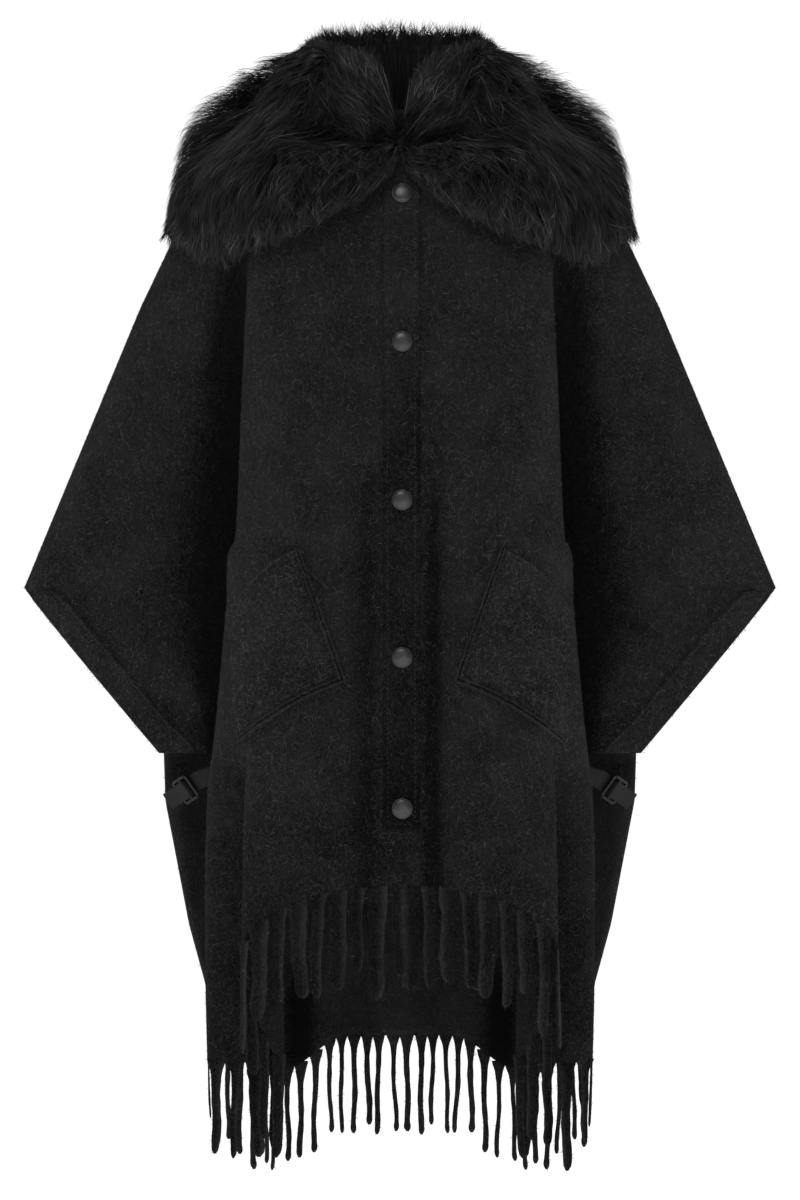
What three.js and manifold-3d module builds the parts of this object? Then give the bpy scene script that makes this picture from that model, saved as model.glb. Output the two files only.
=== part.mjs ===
// Wool cloak with a wide fur collar, open wing sleeves and fringed hems, filled out as it is worn.
// Millimetres, +Z up. The front faces -Y and +X is the viewer's right.
// The origin lies between the shoulders, at the base of the neck.
// Names end in _r and _l for the wearer's right and left, so _r lies at -X.

import * as THREE from "three";
import { mergeVertices } from "three/addons/utils/BufferGeometryUtils.js";
import Module from "manifold-3d";

const wasm = await Module();
wasm.setup();

// Cloth and seams
const WALL = 3;
const SEAM_GAP = 0.3;
const HEM_GAP = 1.1;
const FRONT_EDGE_X = 3.5;
const LAID_GAP = 0.5;

// Depths below the neck where the outline turns
const TIP_DEPTH = 435;
const CUFF_END_DEPTH = 591;
const NECK_DROP = 10;

// Neck band and collar
const BAND_HEIGHT = 15;
const COLLAR_CLEAR = 6;
const COLLAR_OVER_PLACKET = 6.5;

// Placket and buttons
const PLACKET_LEFT = -15.6;
const PLACKET_RIGHT = 18.3;
const PLACKET_TOP = 18;
const PLACKET_END = 656;
const PLACKET_WALL = 3;
const SNAP_RADIUS = 9.5;
const SNAP_X = 2;
const SNAP_DEPTHS = [72, 210, 355, 499, 637];
const NECK_SNAP_RADIUS = 4;

// Pocket corners as seen from the front: distance from the middle and depth
const POCKET_GAP = 0.8;
const POCKET_FOLD_GAP = 2;
const POCKET_WALL = 3;
const POCKET_WELT = 1.6;
const POCKET = {
  innerTop: [91.8, 397],
  innerEnd: [48.6, 521],
  outerTop: [159, 459],
  outerEnd: [146, 578],
  mouthSag: 9,
  endSag: 7,
};

// Turned band along each open wing end
const CUFF_BAND_WALL = 1.2;

// Side straps
const STRAP_WIDTH = 18;
const STRAP_WALL = 1.6;
const SLIDER_WIDTH = 26;
const SLIDER_HEIGHT = 20;
const SLIDER_WALL = 3;
const SLIDER_RAIL = 3;
const SLIDER_AT = new THREE.Vector3(204, 13, -627);
const STRAP_RUN = new THREE.Vector3(27, 23, -19);
const STRAP_DEPTH = 608;
const BASE_PLACE = 5.7;
const BASE_DEPTH = 614;
const BASE_GAP = 0.9;

// Fringe
const FRINGE_LENGTH = 98;
const FRINGE_STRIP = 9;
const FRONT_STRANDS = 19;
const FRONT_STRAND_RADIUS = 4.6;
const BACK_STRANDS = 29;
const BACK_STRAND_RADIUS = 3.7;

const WOOL = new THREE.MeshStandardMaterial({ color: 0x1d1d1f, roughness: 0.95, metalness: 0 });
const FUR = new THREE.MeshStandardMaterial({ color: 0x141414, roughness: 0.85, metalness: 0 });
const WEBBING = new THREE.MeshStandardMaterial({ color: 0x18181a, roughness: 0.7, metalness: 0 });
const METAL = new THREE.MeshStandardMaterial({ color: 0x4a4b4e, roughness: 0.45, metalness: 0.6 });

// Sections and curves

// A row for each height: the depth below the neck, then x and y of each point of the section
// from the middle outward. The wing's outer edge has its x in OUTLINE.
const FRONT_COLUMNS = ["middleY", "chestX", "chestY", "foldX", "foldY", "innerX", "innerY",
  "sideX", "sideY", "valleyX", "valleyY", "wingX", "wingY", "armX", "armY", "edgeY"];
const FRONT_SECTIONS = [
  [0, -72, 16, -71, 28, -66, 38, -59, 47, -50, 54, -39, 59, -27, 63, -13, 0],
  [30, -86, 40, -88, 66, -84, 82, -78, 97, -70, 109, -59, 120, -45, 131, -24, 0],
  [60, -97, 50, -101, 84, -99, 104, -93, 122, -84, 138, -70, 154, -54, 172, -32, 0],
  [105, -109, 58, -115, 94, -115, 116, -108, 134, -95, 146, -76, 168, -60, 198, -38, 0],
  [170, -118, 64, -127, 100, -127, 124, -119, 141, -101, 144, -68, 182, -53, 226, -36, 0],
  [260, -123, 68, -134, 104, -133, 130, -124, 146, -102, 138, -56, 195, -47, 262, -34, 0],
  [340, -126, 70, -137, 106, -136, 132, -126, 149, -102, 137, -48, 208, -43, 294, -32, 0],
  [390, -127, 71, -138, 107, -137, 135, -126, 152, -100, 138, -46, 216, -41, 312, -28, 0],
  [435, -128, 72, -139, 109, -137, 139, -125, 158, -96, 141, -44, 224, -39, 330, -22, 0],
  [447, -128, 72, -139, 110, -137, 140, -124, 160, -95, 142, -43, 224, -39, 313, -27, -12],
  [470, -128, 73, -139, 111, -137, 143, -123, 162, -93, 144, -42, 222, -38, 293, -31, -22],
  [513, -128, 74, -139, 114, -136, 147, -120, 166, -89, 147, -40, 208, -37, 257, -33, -28],
  [560, -128, 74, -138, 122, -132, 150, -110, 171, -80, 153, -36, 186, -35, 218, -32, -27],
  [591, -127, 73, -137, 134, -120, 143, -92, 175, -68, 160, -28, 177, -32, 192, -30, -24],
  [620, -126, 72, -136, 141, -112, 126, -76, 178, -56, 170, -8, 177, -32, 192, -30, -24],
  [700, -124, 76, -133, 144, -110, 116, -64, 180, -48, 172, 4, 177, -32, 192, -30, -24],
  [790, -122, 78, -131, 146, -108, 112, -60, 180, -44, 172, 8, 177, -32, 192, -30, -24],
  [900, -121, 79, -130, 147, -107, 110, -58, 178, -42, 170, 10, 177, -32, 192, -30, -24],
];

const BACK_COLUMNS = ["middleY", "spineX", "spineY", "bladeX", "bladeY", "sideX", "sideY",
  "wingX", "wingY", "armX", "armY", "edgeY"];
const BACK_SECTIONS = [
  [0, 72, 22, 69, 40, 58, 53, 42, 59, 27, 63, 13, 0],
  [30, 92, 38, 90, 76, 81, 104, 63, 120, 45, 131, 24, 0],
  [60, 104, 46, 104, 92, 98, 130, 78, 154, 54, 172, 32, 0],
  [105, 114, 52, 116, 102, 113, 144, 92, 172, 62, 199, 38, 0],
  [170, 122, 56, 125, 110, 121, 154, 95, 190, 58, 227, 36, 0],
  [260, 126, 58, 130, 116, 126, 162, 92, 206, 52, 262, 34, 0],
  [340, 127, 60, 131, 120, 127, 168, 86, 220, 47, 294, 32, 0],
  [435, 127, 61, 131, 122, 126, 174, 79, 236, 42, 330, 22, 0],
  [447, 127, 61, 131, 122, 126, 174, 78, 234, 42, 313, 27, 12],
  [470, 127, 61, 131, 122, 125, 174, 77, 230, 42, 293, 31, 22],
  [513, 126, 61, 130, 122, 124, 172, 77, 216, 45, 257, 36, 30],
  [560, 125, 60, 129, 121, 122, 166, 81, 190, 60, 218, 44, 34],
  [591, 124, 60, 128, 118, 120, 154, 89, 171, 76, 192, 61, 37],
  [640, 123, 60, 127, 116, 119, 153, 91, 172, 80, 194, 66, 46],
  [720, 122, 60, 126, 114, 118, 154, 91, 178, 77, 196, 66, 55],
  [830, 121, 58, 125, 108, 117, 142, 96, 162, 84, 177, 74, 64],
  [910, 120, 57, 124, 106, 116, 140, 96, 158, 85, 173, 75, 66],
];

// The shoulder and arm line, the slanted wing end, then the back's side edge.
const OUTLINE = [
  [0, 64.5], [12, 102], [30, 136], [60, 182], [85, 203], [105, 216], [170, 247], [TIP_DEPTH, 357],
  [CUFF_END_DEPTH, 227], [640, 226], [700, 215], [760, 204], [820, 188], [910, 182],
];

// Depth of the hem from the middle outward, by place along the section.
const FRONT_HEM = [[0, 706], [1, 716], [2, 765], [2.75, 871], [3, 877], [4, 880], [5, 880]];
const BACK_HEM = [[0, 874], [1, 876], [2, 905], [3, 908], [4, 886], [5, 880], [6, 878]];

// Soft upright folds of the back, growing towards the hem.
const BACK_FOLDS = { from: 200, full: 860, height: 9, pitch: 84, middle: 30, fade: 108, side: 138 };

// Steps of the cloth grids, from the middle outward and from the neck down
const FRONT_STEPS = [2, 3, 3, 3, 3, 2, 2, 3];
const BACK_STEPS = [2, 3, 3, 3, 2, 3];
const UPPER_DEPTHS = [0, 12, 30, 60, 85, 105, 135, 170, 230, 290, 340, 398, TIP_DEPTH, 447, 470, 513,
  560, CUFF_END_DEPTH];
const LOWER_STEPS = 5;

/** Straight steps between rows of [place, value]. */
function straight(rows, place) {
  const last = rows.length - 1;
  if (place <= rows[0][0]) return rows[0][1];
  if (place >= rows[last][0]) return rows[last][1];
  const after = rows.findIndex((row) => row[0] >= place);
  const [a, b] = [rows[after - 1], rows[after]];
  return a[1] + ((b[1] - a[1]) * (place - a[0])) / (b[0] - a[0]);
}

/** A smooth curve through rows of [place, value] that never swings past them. */
function smooth(rows) {
  const rise = rows.slice(1).map((row, k) => (row[1] - rows[k][1]) / (row[0] - rows[k][0]));
  const slope = rows.map((row, k) => {
    if (k === 0) return rise[0];
    if (k === rows.length - 1) return rise[k - 1];
    const [a, b] = [rise[k - 1], rise[k]];
    return a * b <= 0 ? 0 : (2 * a * b) / (a + b);
  });
  return (place) => {
    const held = Math.min(Math.max(place, rows[0][0]), rows[rows.length - 1][0]);
    const k = Math.max(1, rows.findIndex((row) => row[0] >= held));
    const width = rows[k][0] - rows[k - 1][0];
    const t = (held - rows[k - 1][0]) / width;
    const [s, u] = [t * t, 1 - t];
    return rows[k - 1][1] * (1 + 2 * t) * u * u + rows[k][1] * s * (3 - 2 * t)
      + width * (slope[k - 1] * t * u * u - slope[k] * s * u);
  };
}

/** Turns a table of sections into one smooth curve down the cloth for each named column. */
function curvesOf(columns, sections) {
  const curves = {};
  columns.forEach((name, k) => {
    curves[name] = smooth(sections.map((row) => [row[0], row[k + 1]]));
  });
  return curves;
}

const front = curvesOf(FRONT_COLUMNS, FRONT_SECTIONS);
const back = curvesOf(BACK_COLUMNS, BACK_SECTIONS);
const frontHem = smooth(FRONT_HEM);
const backHem = smooth(BACK_HEM);

/** Catmull-Rom curve through a list of [x, y] points at a place counted in points. */
function along(points, place) {
  const last = points.length - 1;
  const k = Math.min(Math.floor(place), last - 1);
  const t = place - k;
  const before = points[k - 1] ?? [2 * points[0][0] - points[1][0], points[1][1]];
  const after = points[k + 2] ?? points.beyond;
  return [0, 1].map((axis) => {
    const [a, b, c, d] = [before[axis], points[k][axis], points[k + 1][axis], after[axis]];
    return 0.5 * (2 * b + (c - a) * t + (2 * a - 5 * b + 4 * c - d) * t * t
      + (3 * b - a - 3 * c + d) * t * t * t);
  });
}

/** The point past the outer edge: mirrored through the arm seam, or straight on at a free edge. */
function pastEdge(points, depth) {
  const [last, near] = [points[points.length - 1], points[points.length - 2]];
  if (depth <= TIP_DEPTH) return [near[0], 2 * last[1] - near[1]];
  return [2 * last[0] - near[0], 2 * last[1] - near[1]];
}

/** The front's section at a depth, for the half on one side of the middle. */
function frontSection(depth, middleX) {
  const at = (name) => front[name](depth);
  const points = [
    [middleX, at("middleY")], [at("chestX"), at("chestY")], [at("foldX"), at("foldY")],
    [at("innerX"), at("innerY")], [at("sideX"), at("sideY")], [at("valleyX"), at("valleyY")],
    [at("wingX"), at("wingY")], [at("armX"), at("armY")],
    [straight(OUTLINE, depth), at("edgeY") - SEAM_GAP / 2],
  ];
  points.beyond = pastEdge(points, depth);
  return points;
}

/** The back's section at a depth, for the half on one side of the middle. */
function backSection(depth) {
  const at = (name) => back[name](depth);
  const points = [
    [0, at("middleY")], [at("spineX"), at("spineY")], [at("bladeX"), at("bladeY")],
    [at("sideX"), at("sideY")], [at("wingX"), at("wingY")], [at("armX"), at("armY")],
    [straight(OUTLINE, depth), at("edgeY") + SEAM_GAP / 2],
  ];
  points.beyond = pastEdge(points, depth);
  return points;
}

const FRONT_SPANS = 8;
const BACK_SPANS = 6;
const BODY_SPANS = 5;

/** How far the back's soft folds stand out at a place. */
function backFold(x, depth) {
  const { from, full, height, pitch, middle, fade, side } = BACK_FOLDS;
  const grown = THREE.MathUtils.smoothstep(depth, from, full);
  const offMiddle = THREE.MathUtils.smoothstep(x, 0, middle);
  const offSide = 1 - THREE.MathUtils.smoothstep(x, fade, side);
  return -height * grown * offMiddle * offSide * Math.cos((2 * Math.PI * x) / pitch);
}

/** A panel as a function of the place along its section and the depth. */
function frontPanel(middleX) {
  const point = (place, depth) => {
    const [x, y] = along(frontSection(depth, middleX), place);
    return new THREE.Vector3(x, y, -depth);
  };
  return { point, places: placesOf(FRONT_STEPS), spans: FRONT_SPANS, outward: -1 };
}

function backPanel() {
  const point = (place, depth) => {
    const [x, y] = along(backSection(depth), place);
    return new THREE.Vector3(x, y + backFold(x, depth), -depth);
  };
  return { point, places: placesOf(BACK_STEPS), spans: BACK_SPANS, outward: 1 };
}

/** The direction square to a panel, away from the body. */
function outwardAt(panel, place, depth) {
  const step = 0.01;
  const low = Math.max(place - step, 0);
  const high = Math.min(place + step, panel.spans);
  const across = panel.point(high, depth).sub(panel.point(low, depth));
  const down = panel.point(place, depth + 1).sub(panel.point(place, Math.max(depth - 1, 0)));
  const square = across.cross(down).multiplyScalar(panel.outward);
  if (place === panel.spans && depth <= TIP_DEPTH) square.y = 0;
  if (place === 0) square.x = 0;
  return square.normalize();
}

/** A panel's point moved out by a distance. */
function lifted(panel, place, depth, distance) {
  return panel.point(place, depth).addScaledVector(outwardAt(panel, place, depth), distance);
}

/** The place between two others where a panel passes a distance from the middle. */
function placeAt(panel, x, depth, from, to) {
  let [low, high] = [from, to];
  for (let k = 0; k < 24; k += 1) {
    const middle = (low + high) / 2;
    if (panel.point(middle, depth).x < x) low = middle;
    else high = middle;
  }
  return (low + high) / 2;
}

/** The place on the front's body, inside its side fold, at a distance from the middle. */
const frontPlace = (panel, x, depth) => placeAt(panel, x, depth, 0, 4);

/** The columns of a panel's grid on both sides of a place, and the share of the way across. */
function columnsAt(panel, place) {
  const next = panel.places.findIndex((column) => column > place);
  const after = next < 0 ? panel.places.length - 1 : Math.max(next, 1);
  const [low, high] = [panel.places[after - 1], panel.places[after]];
  return [low, high, Math.min(Math.max((place - low) / (high - low), 0), 1)];
}

/** A point lifted off the flat faces of a panel's own grid. */
function laid(panel, place, depth, distance) {
  const [before, after, share] = columnsAt(panel, place);
  const upper = [...UPPER_DEPTHS].reverse().find((row) => row <= depth);
  const lower = UPPER_DEPTHS.find((row) => row > depth);
  if (lower === undefined) {
    const level = panel.point(before, depth).lerp(panel.point(after, depth), share);
    return level.addScaledVector(outwardAt(panel, place, depth), distance);
  }
  const fall = (depth - upper) / (lower - upper);
  const corner = panel.point(before, upper);
  const far = panel.point(after, lower);
  const near = fall > share ? panel.point(before, lower) : panel.point(after, upper);
  const [toNear, toFar] = fall > share ? [fall, share] : [share, fall];
  const base = corner.clone().addScaledVector(near.clone().sub(corner), toNear)
    .addScaledVector(far.sub(near), toFar);
  return base.addScaledVector(outwardAt(panel, place, depth), distance);
}

/** Places along a section, with a number of steps for each span. */
function placesOf(steps) {
  const places = [0];
  steps.forEach((count, span) => {
    for (let k = 1; k <= count; k += 1) places.push(span + k / count);
  });
  return places;
}

// Solids

function geometryOf(positions, index) {
  const geometry = new THREE.BufferGeometry();
  geometry.setAttribute("position", new THREE.Float32BufferAttribute(positions, 3));
  geometry.setIndex(index);
  geometry.computeVertexNormals();
  return geometry;
}

/** A wall between two grids of points; keep says which squares of the grid are cloth. */
function wallBetween(outer, inner, side, keep = () => true) {
  const rows = outer.length - 1;
  const columns = outer[0].length - 1;
  const positions = [];
  const index = [];
  const numbers = new Map();
  const number = (grid, row, column) => {
    const key = `${grid === outer ? "o" : "i"} ${row} ${column}`;
    if (!numbers.has(key)) {
      numbers.set(key, positions.length / 3);
      positions.push(...grid[row][column].toArray());
    }
    return numbers.get(key);
  };
  const square = (...corners) => {
    const [a, b, c, d] = corners.map(([grid, row, column]) => number(grid, row, column));
    if (side > 0) index.push(a, b, c, a, c, d);
    else index.push(a, c, b, a, d, c);
  };
  const kept = (row, column) =>
    row >= 0 && column >= 0 && row < rows && column < columns && keep(row, column);
  const rim = (rowA, columnA, rowB, columnB) =>
    square([outer, rowA, columnA], [outer, rowB, columnB], [inner, rowB, columnB],
      [inner, rowA, columnA]);
  for (let r = 0; r < rows; r += 1) {
    for (let c = 0; c < columns; c += 1) {
      if (!kept(r, c)) continue;
      square([outer, r, c], [outer, r + 1, c], [outer, r + 1, c + 1], [outer, r, c + 1]);
      square([inner, r, c], [inner, r, c + 1], [inner, r + 1, c + 1], [inner, r + 1, c]);
      if (!kept(r - 1, c)) rim(r, c, r, c + 1);
      if (!kept(r + 1, c)) rim(r + 1, c + 1, r + 1, c);
      if (!kept(r, c - 1)) rim(r + 1, c, r, c);
      if (!kept(r, c + 1)) rim(r, c + 1, r + 1, c + 1);
    }
  }
  return geometryOf(positions, index);
}

/** A closed body through rings of equally many points, flat at both ends. */
function throughRings(rings, turn = 1) {
  const count = rings[0].length;
  const positions = rings.flat().flatMap((point) => point.toArray());
  const index = [];
  const face = (a, b, c) => index.push(...(turn > 0 ? [a, b, c] : [a, c, b]));
  for (let r = 0; r + 1 < rings.length; r += 1) {
    for (let k = 0; k < count; k += 1) {
      const [a, b] = [r * count + k, r * count + ((k + 1) % count)];
      face(a, b, b + count);
      face(a, b + count, a + count);
    }
  }
  const lastRing = (rings.length - 1) * count;
  for (let k = 1; k + 1 < count; k += 1) {
    face(0, k + 1, k);
    face(lastRing, lastRing + k, lastRing + k + 1);
  }
  return geometryOf(positions, index);
}

/** The same points on the other side of the body. */
const mirrored = (grid) => grid.map((row) => row.map((p) => new THREE.Vector3(-p.x, p.y, p.z)));

const onSide = (grid, side) => (side > 0 ? grid : mirrored(grid));

function solidOf(geometry) {
  const bare = geometry.clone();
  bare.deleteAttribute("normal");
  bare.deleteAttribute("uv");
  const merged = mergeVertices(bare, 1e-4);
  return new wasm.Manifold(new wasm.Mesh({
    numProp: 3,
    vertProperties: new Float32Array(merged.getAttribute("position").array),
    triVerts: new Uint32Array(merged.getIndex().array),
  }));
}

function joined(geometries) {
  const [first, ...others] = geometries.map(solidOf);
  const whole = others.reduce((sum, solid) => sum.add(solid), first);
  const mesh = whole.getMesh();
  return geometryOf(Array.from(mesh.vertProperties), Array.from(mesh.triVerts));
}

const cloak = new THREE.Group();

function add(name, geometry, material, place) {
  const mesh = new THREE.Mesh(geometry, material);
  mesh.name = name;
  if (place) {
    mesh.position.copy(place.at);
    mesh.quaternion.copy(place.turn);
  }
  cloak.add(mesh);
}

// The panels

/** Rows of the front's grid: level down to the wing's end, then running down to the hem. */
function frontDepths(place) {
  const neck = NECK_DROP * (1 - place / FRONT_SPANS);
  const upper = UPPER_DEPTHS.map((depth, k) => (k < 2 ? Math.max(depth, neck + 8 * k) : depth));
  const hem = frontHem(Math.min(place, BODY_SPANS));
  const lower = Array.from({ length: LOWER_STEPS }, (_, k) =>
    THREE.MathUtils.lerp(CUFF_END_DEPTH, hem, (k + 1) / LOWER_STEPS));
  return [...upper, ...lower];
}

function backDepths(place) {
  const hem = backHem(place);
  const lower = Array.from({ length: LOWER_STEPS + 1 }, (_, k) =>
    THREE.MathUtils.lerp(CUFF_END_DEPTH, hem, (k + 1) / (LOWER_STEPS + 1)));
  return [...UPPER_DEPTHS, ...lower];
}

/** A grid over a panel, lifted off it by a distance. */
function gridOver(panel, places, depthsOf, distance) {
  const columns = places.map((place) =>
    depthsOf(place).map((depth) => lifted(panel, place, depth, distance)));
  return columns[0].map((_, row) => columns.map((column) => column[row]));
}

const SIDES = [{ tag: "r", side: -1 }, { tag: "l", side: 1 }];
const fronts = {};
for (const { tag, side } of SIDES) {
  fronts[tag] = frontPanel(side * FRONT_EDGE_X + SEAM_GAP / 2);
}
const backHalf = backPanel();
const frontPlaces = placesOf(FRONT_STEPS);
const backPlaces = placesOf(BACK_STEPS);
const bodyColumns = FRONT_STEPS.slice(0, BODY_SPANS).reduce((sum, count) => sum + count, 0);

for (const { tag, side } of SIDES) {
  const outer = gridOver(fronts[tag], frontPlaces, frontDepths, 0);
  const inner = gridOver(fronts[tag], frontPlaces, frontDepths, -WALL);
  const lastWingRow = UPPER_DEPTHS.length - 1;
  const cloth = (row, column) => column < bodyColumns || row < lastWingRow;
  add(`front_${tag}`, wallBetween(onSide(outer, side), onSide(inner, side), side, cloth), WOOL);
}

/** Both halves of a grid on the back as one, from the wearer's right to the left. */
function acrossBack(grid) {
  return grid.map((row, k) => [...mirrored(grid)[k].slice(1).reverse(), ...row]);
}

{
  const outer = acrossBack(gridOver(backHalf, backPlaces, backDepths, 0));
  const inner = acrossBack(gridOver(backHalf, backPlaces, backDepths, -WALL));
  add("back_panel", wallBetween(outer, inner, -1), WOOL);
}

// What lies on the panels

/** The placket covers both front edges, from below the neck to its end, level from side to side. */
const PLACKET_DEPTHS = [PLACKET_TOP, 30, 45, 59, 85, 105, 135, 170, 197, 223, 260, 300, 342, 368, 398,
  435, 470, 486, 512, 560, 591, 624, PLACKET_END];
const placketRows = PLACKET_DEPTHS.map((depth) => {
  const across = [PLACKET_LEFT, -9, 0, 9, PLACKET_RIGHT].map((x) => {
    const [panel, reach] = x < FRONT_EDGE_X ? [fronts.r, -x] : [fronts.l, x];
    return laid(panel, frontPlace(panel, reach, depth), depth, 0).y;
  });
  return [depth, Math.min(...across) - LAID_GAP];
});
const placketBack = (depth) => straight(placketRows, depth);

{
  const across = [PLACKET_LEFT, 0, PLACKET_RIGHT];
  const grid = (distance) => PLACKET_DEPTHS.map((depth) => across.map((x) =>
    new THREE.Vector3(x, placketBack(depth) - distance, -depth)));
  add("placket", wallBetween(grid(PLACKET_WALL), grid(0), 1), WOOL);
}

/** Snap caps sit on the placket, square to it. */
{
  const cap = [[0, 0], [1, 0], [1, 0.16], [0.84, 0.38], [0.62, 0.3], [0, 0.42]]
    .map(([r, h]) => new THREE.Vector2(r * SNAP_RADIUS, h * SNAP_RADIUS));
  SNAP_DEPTHS.forEach((depth, k) => {
    const slope = placketBack(depth + SNAP_RADIUS) - placketBack(depth - SNAP_RADIUS);
    const facing = new THREE.Vector3(0, -2 * SNAP_RADIUS, -slope).normalize();
    const at = new THREE.Vector3(SNAP_X, placketBack(depth) - PLACKET_WALL, -depth);
    at.addScaledVector(facing, SEAM_GAP);
    const turn = new THREE.Quaternion().setFromUnitVectors(new THREE.Vector3(0, 1, 0), facing);
    add(`snap_${k + 1}`, new THREE.LatheGeometry(cap, 16), METAL, { at, turn });
  });
}

/** A slanted patch pocket: a sheet over the front with a raised welt inside and below. */
for (const { tag, side } of SIDES) {
  const panel = fronts[tag];
  const across = [0, 0.06, 0.12, 0.24, 0.36, 0.48, 0.6, 0.72, 0.84, 0.93, 1];
  const down = [0, 0.14, 0.28, 0.42, 0.56, 0.7, 0.82, 0.89, 0.95, 1];
  const mix = THREE.MathUtils.lerp;
  const spot = (s, t) => {
    const bow = Math.sin(Math.PI * s);
    const top = [0, 1].map((k) => mix(POCKET.innerTop[k], POCKET.outerTop[k], s));
    const end = [0, 1].map((k) => mix(POCKET.innerEnd[k], POCKET.outerEnd[k], s));
    top[1] -= POCKET.mouthSag * bow;
    end[1] -= POCKET.endSag * bow;
    return [mix(top[0], end[0], t), mix(top[1], end[1], t)];
  };
  const welt = (s, t) => {
    const byInner = s > 0.01 && s < 0.1 ? 1 : 0;
    const byEnd = t > 0.85 && t < 0.96 ? 1 : 0;
    return POCKET_WELT * Math.max(byInner * Math.min(1, t * 2), byEnd);
  };
  const grid = (distance) => down.map((t) => across.map((s) => {
    const [x, depth] = spot(s, t);
    return laid(panel, frontPlace(panel, x, depth), depth, distance(s, t));
  }));
  const gap = (s, t) => POCKET_GAP + POCKET_FOLD_GAP
    * THREE.MathUtils.smoothstep(s, 0.45, 0.9) * THREE.MathUtils.smoothstep(t, 0.4, 0.8);
  const outer = grid((s, t) => gap(s, t) + POCKET_WALL + welt(s, t));
  const inner = grid(gap);
  add(`pocket_${tag}`, wallBetween(onSide(outer, side), onSide(inner, side), side), WOOL);
}

/** The turned band along the wing's open end, over the last span of each layer. */
{
  const depths = UPPER_DEPTHS.filter((depth) => depth > TIP_DEPTH);
  const bandOn = (panel, side) => {
    const places = panel.places.filter((place) => place >= panel.spans - 1);
    const onBack = panel.outward > 0;
    if (onBack && side < 0) places.reverse();
    const grid = (distance) => depths.map((depth) => places.map((place) =>
      lifted(panel, place, depth, distance)));
    const outer = grid(LAID_GAP + CUFF_BAND_WALL);
    return wallBetween(onSide(outer, side), onSide(grid(LAID_GAP), side), onBack ? -1 : side);
  };
  for (const { tag, side } of SIDES) {
    add(`cuff_band_front_${tag}`, bandOn(fronts[tag], side), WOOL);
    add(`cuff_band_back_${tag}`, bandOn(backHalf, side), WOOL);
  }
}

// Neck band and fur collar

/** Stations round the neck from one front edge over the back to the other. */
const frontStations = placesOf([2, 2, 1, 1, 1, 1, 2, 3]);
const backStations = placesOf([2, 2, 1, 1, 2, 3]);

function stationsOf(panel, places) {
  return places.map((place) => ({ panel, place }));
}

const leftStations = [
  ...stationsOf(fronts.l, frontStations).slice(0, -1),
  ...stationsOf(backHalf, backStations).reverse(),
];
const rightStations = [
  ...stationsOf(fronts.r, frontStations).slice(0, -1),
  ...stationsOf(backHalf, backStations).reverse().slice(0, -1),
];

/** A ring round the neck for every station, closed in itself, the right side mirrored. */
function aroundNeck(ringAt) {
  const left = leftStations.map((station) => ringAt(station));
  const right = mirrored(rightStations.map((station) => ringAt(station)));
  return [...right, ...left.reverse()];
}

function neckPoint(station) {
  const depth = station.panel === backHalf ? 0 : frontDepths(station.place)[0];
  const at = station.panel.point(station.place, depth);
  const away = outwardAt(station.panel, station.place, depth);
  away.z = 0;
  return { at, away: away.normalize(), depth };
}

{
  const ringAt = (station) => {
    const { at, away } = neckPoint(station);
    const base = at.z + SEAM_GAP;
    const top = BAND_HEIGHT + at.z * 0.6;
    return [[0, base], [0, top], [-WALL, top], [-WALL, base]].map(([out, height]) =>
      new THREE.Vector3(at.x, at.y, height).addScaledVector(away, out));
  };
  add("neck_band", throughRings(aroundNeck(ringAt), 1), WOOL);
}

// The collar's fur, from the middle of the front (place 0) over the arm seam (place 1) to the
// middle of the back (place 2): where it starts below the neckline, where it ends, how high it
// stands round the neck and how thick it lies.
const COLLAR_START = [[0, 15], [0.06, 10], [0.14, 3], [2, 3]];
const COLLAR_END = [[0, 58], [0.12, 98], [0.25, 122], [0.5, 138], [0.75, 134], [1, 108], [1.3, 132],
  [1.6, 150], [2, 152]];
const COLLAR_CREST = [[0, 0], [0.03, 32], [0.07, 54], [0.14, 66], [0.25, 72], [0.45, 77], [0.7, 82],
  [1, 90], [1.5, 100], [2, 106]];
const COLLAR_HEIGHT = [[0, 28], [0.12, 42], [0.3, 46], [0.6, 42], [0.85, 32], [1, 32], [1.15, 34],
  [1.4, 46], [2, 50]];
const collarStart = smooth(COLLAR_START);
const collarEnd = smooth(COLLAR_END);
const collarCrest = smooth(COLLAR_CREST);
const collarHeight = smooth(COLLAR_HEIGHT);
// Share of the way down, thickness as a share of its height, and thickness over the arm seam.
const COLLAR_FALL = [[1.04, 0.26, 4], [0.86, 0.62, 9], [0.64, 0.9, 29], [0.42, 1.02, 68], [0.2, 1, 78]];

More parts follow.
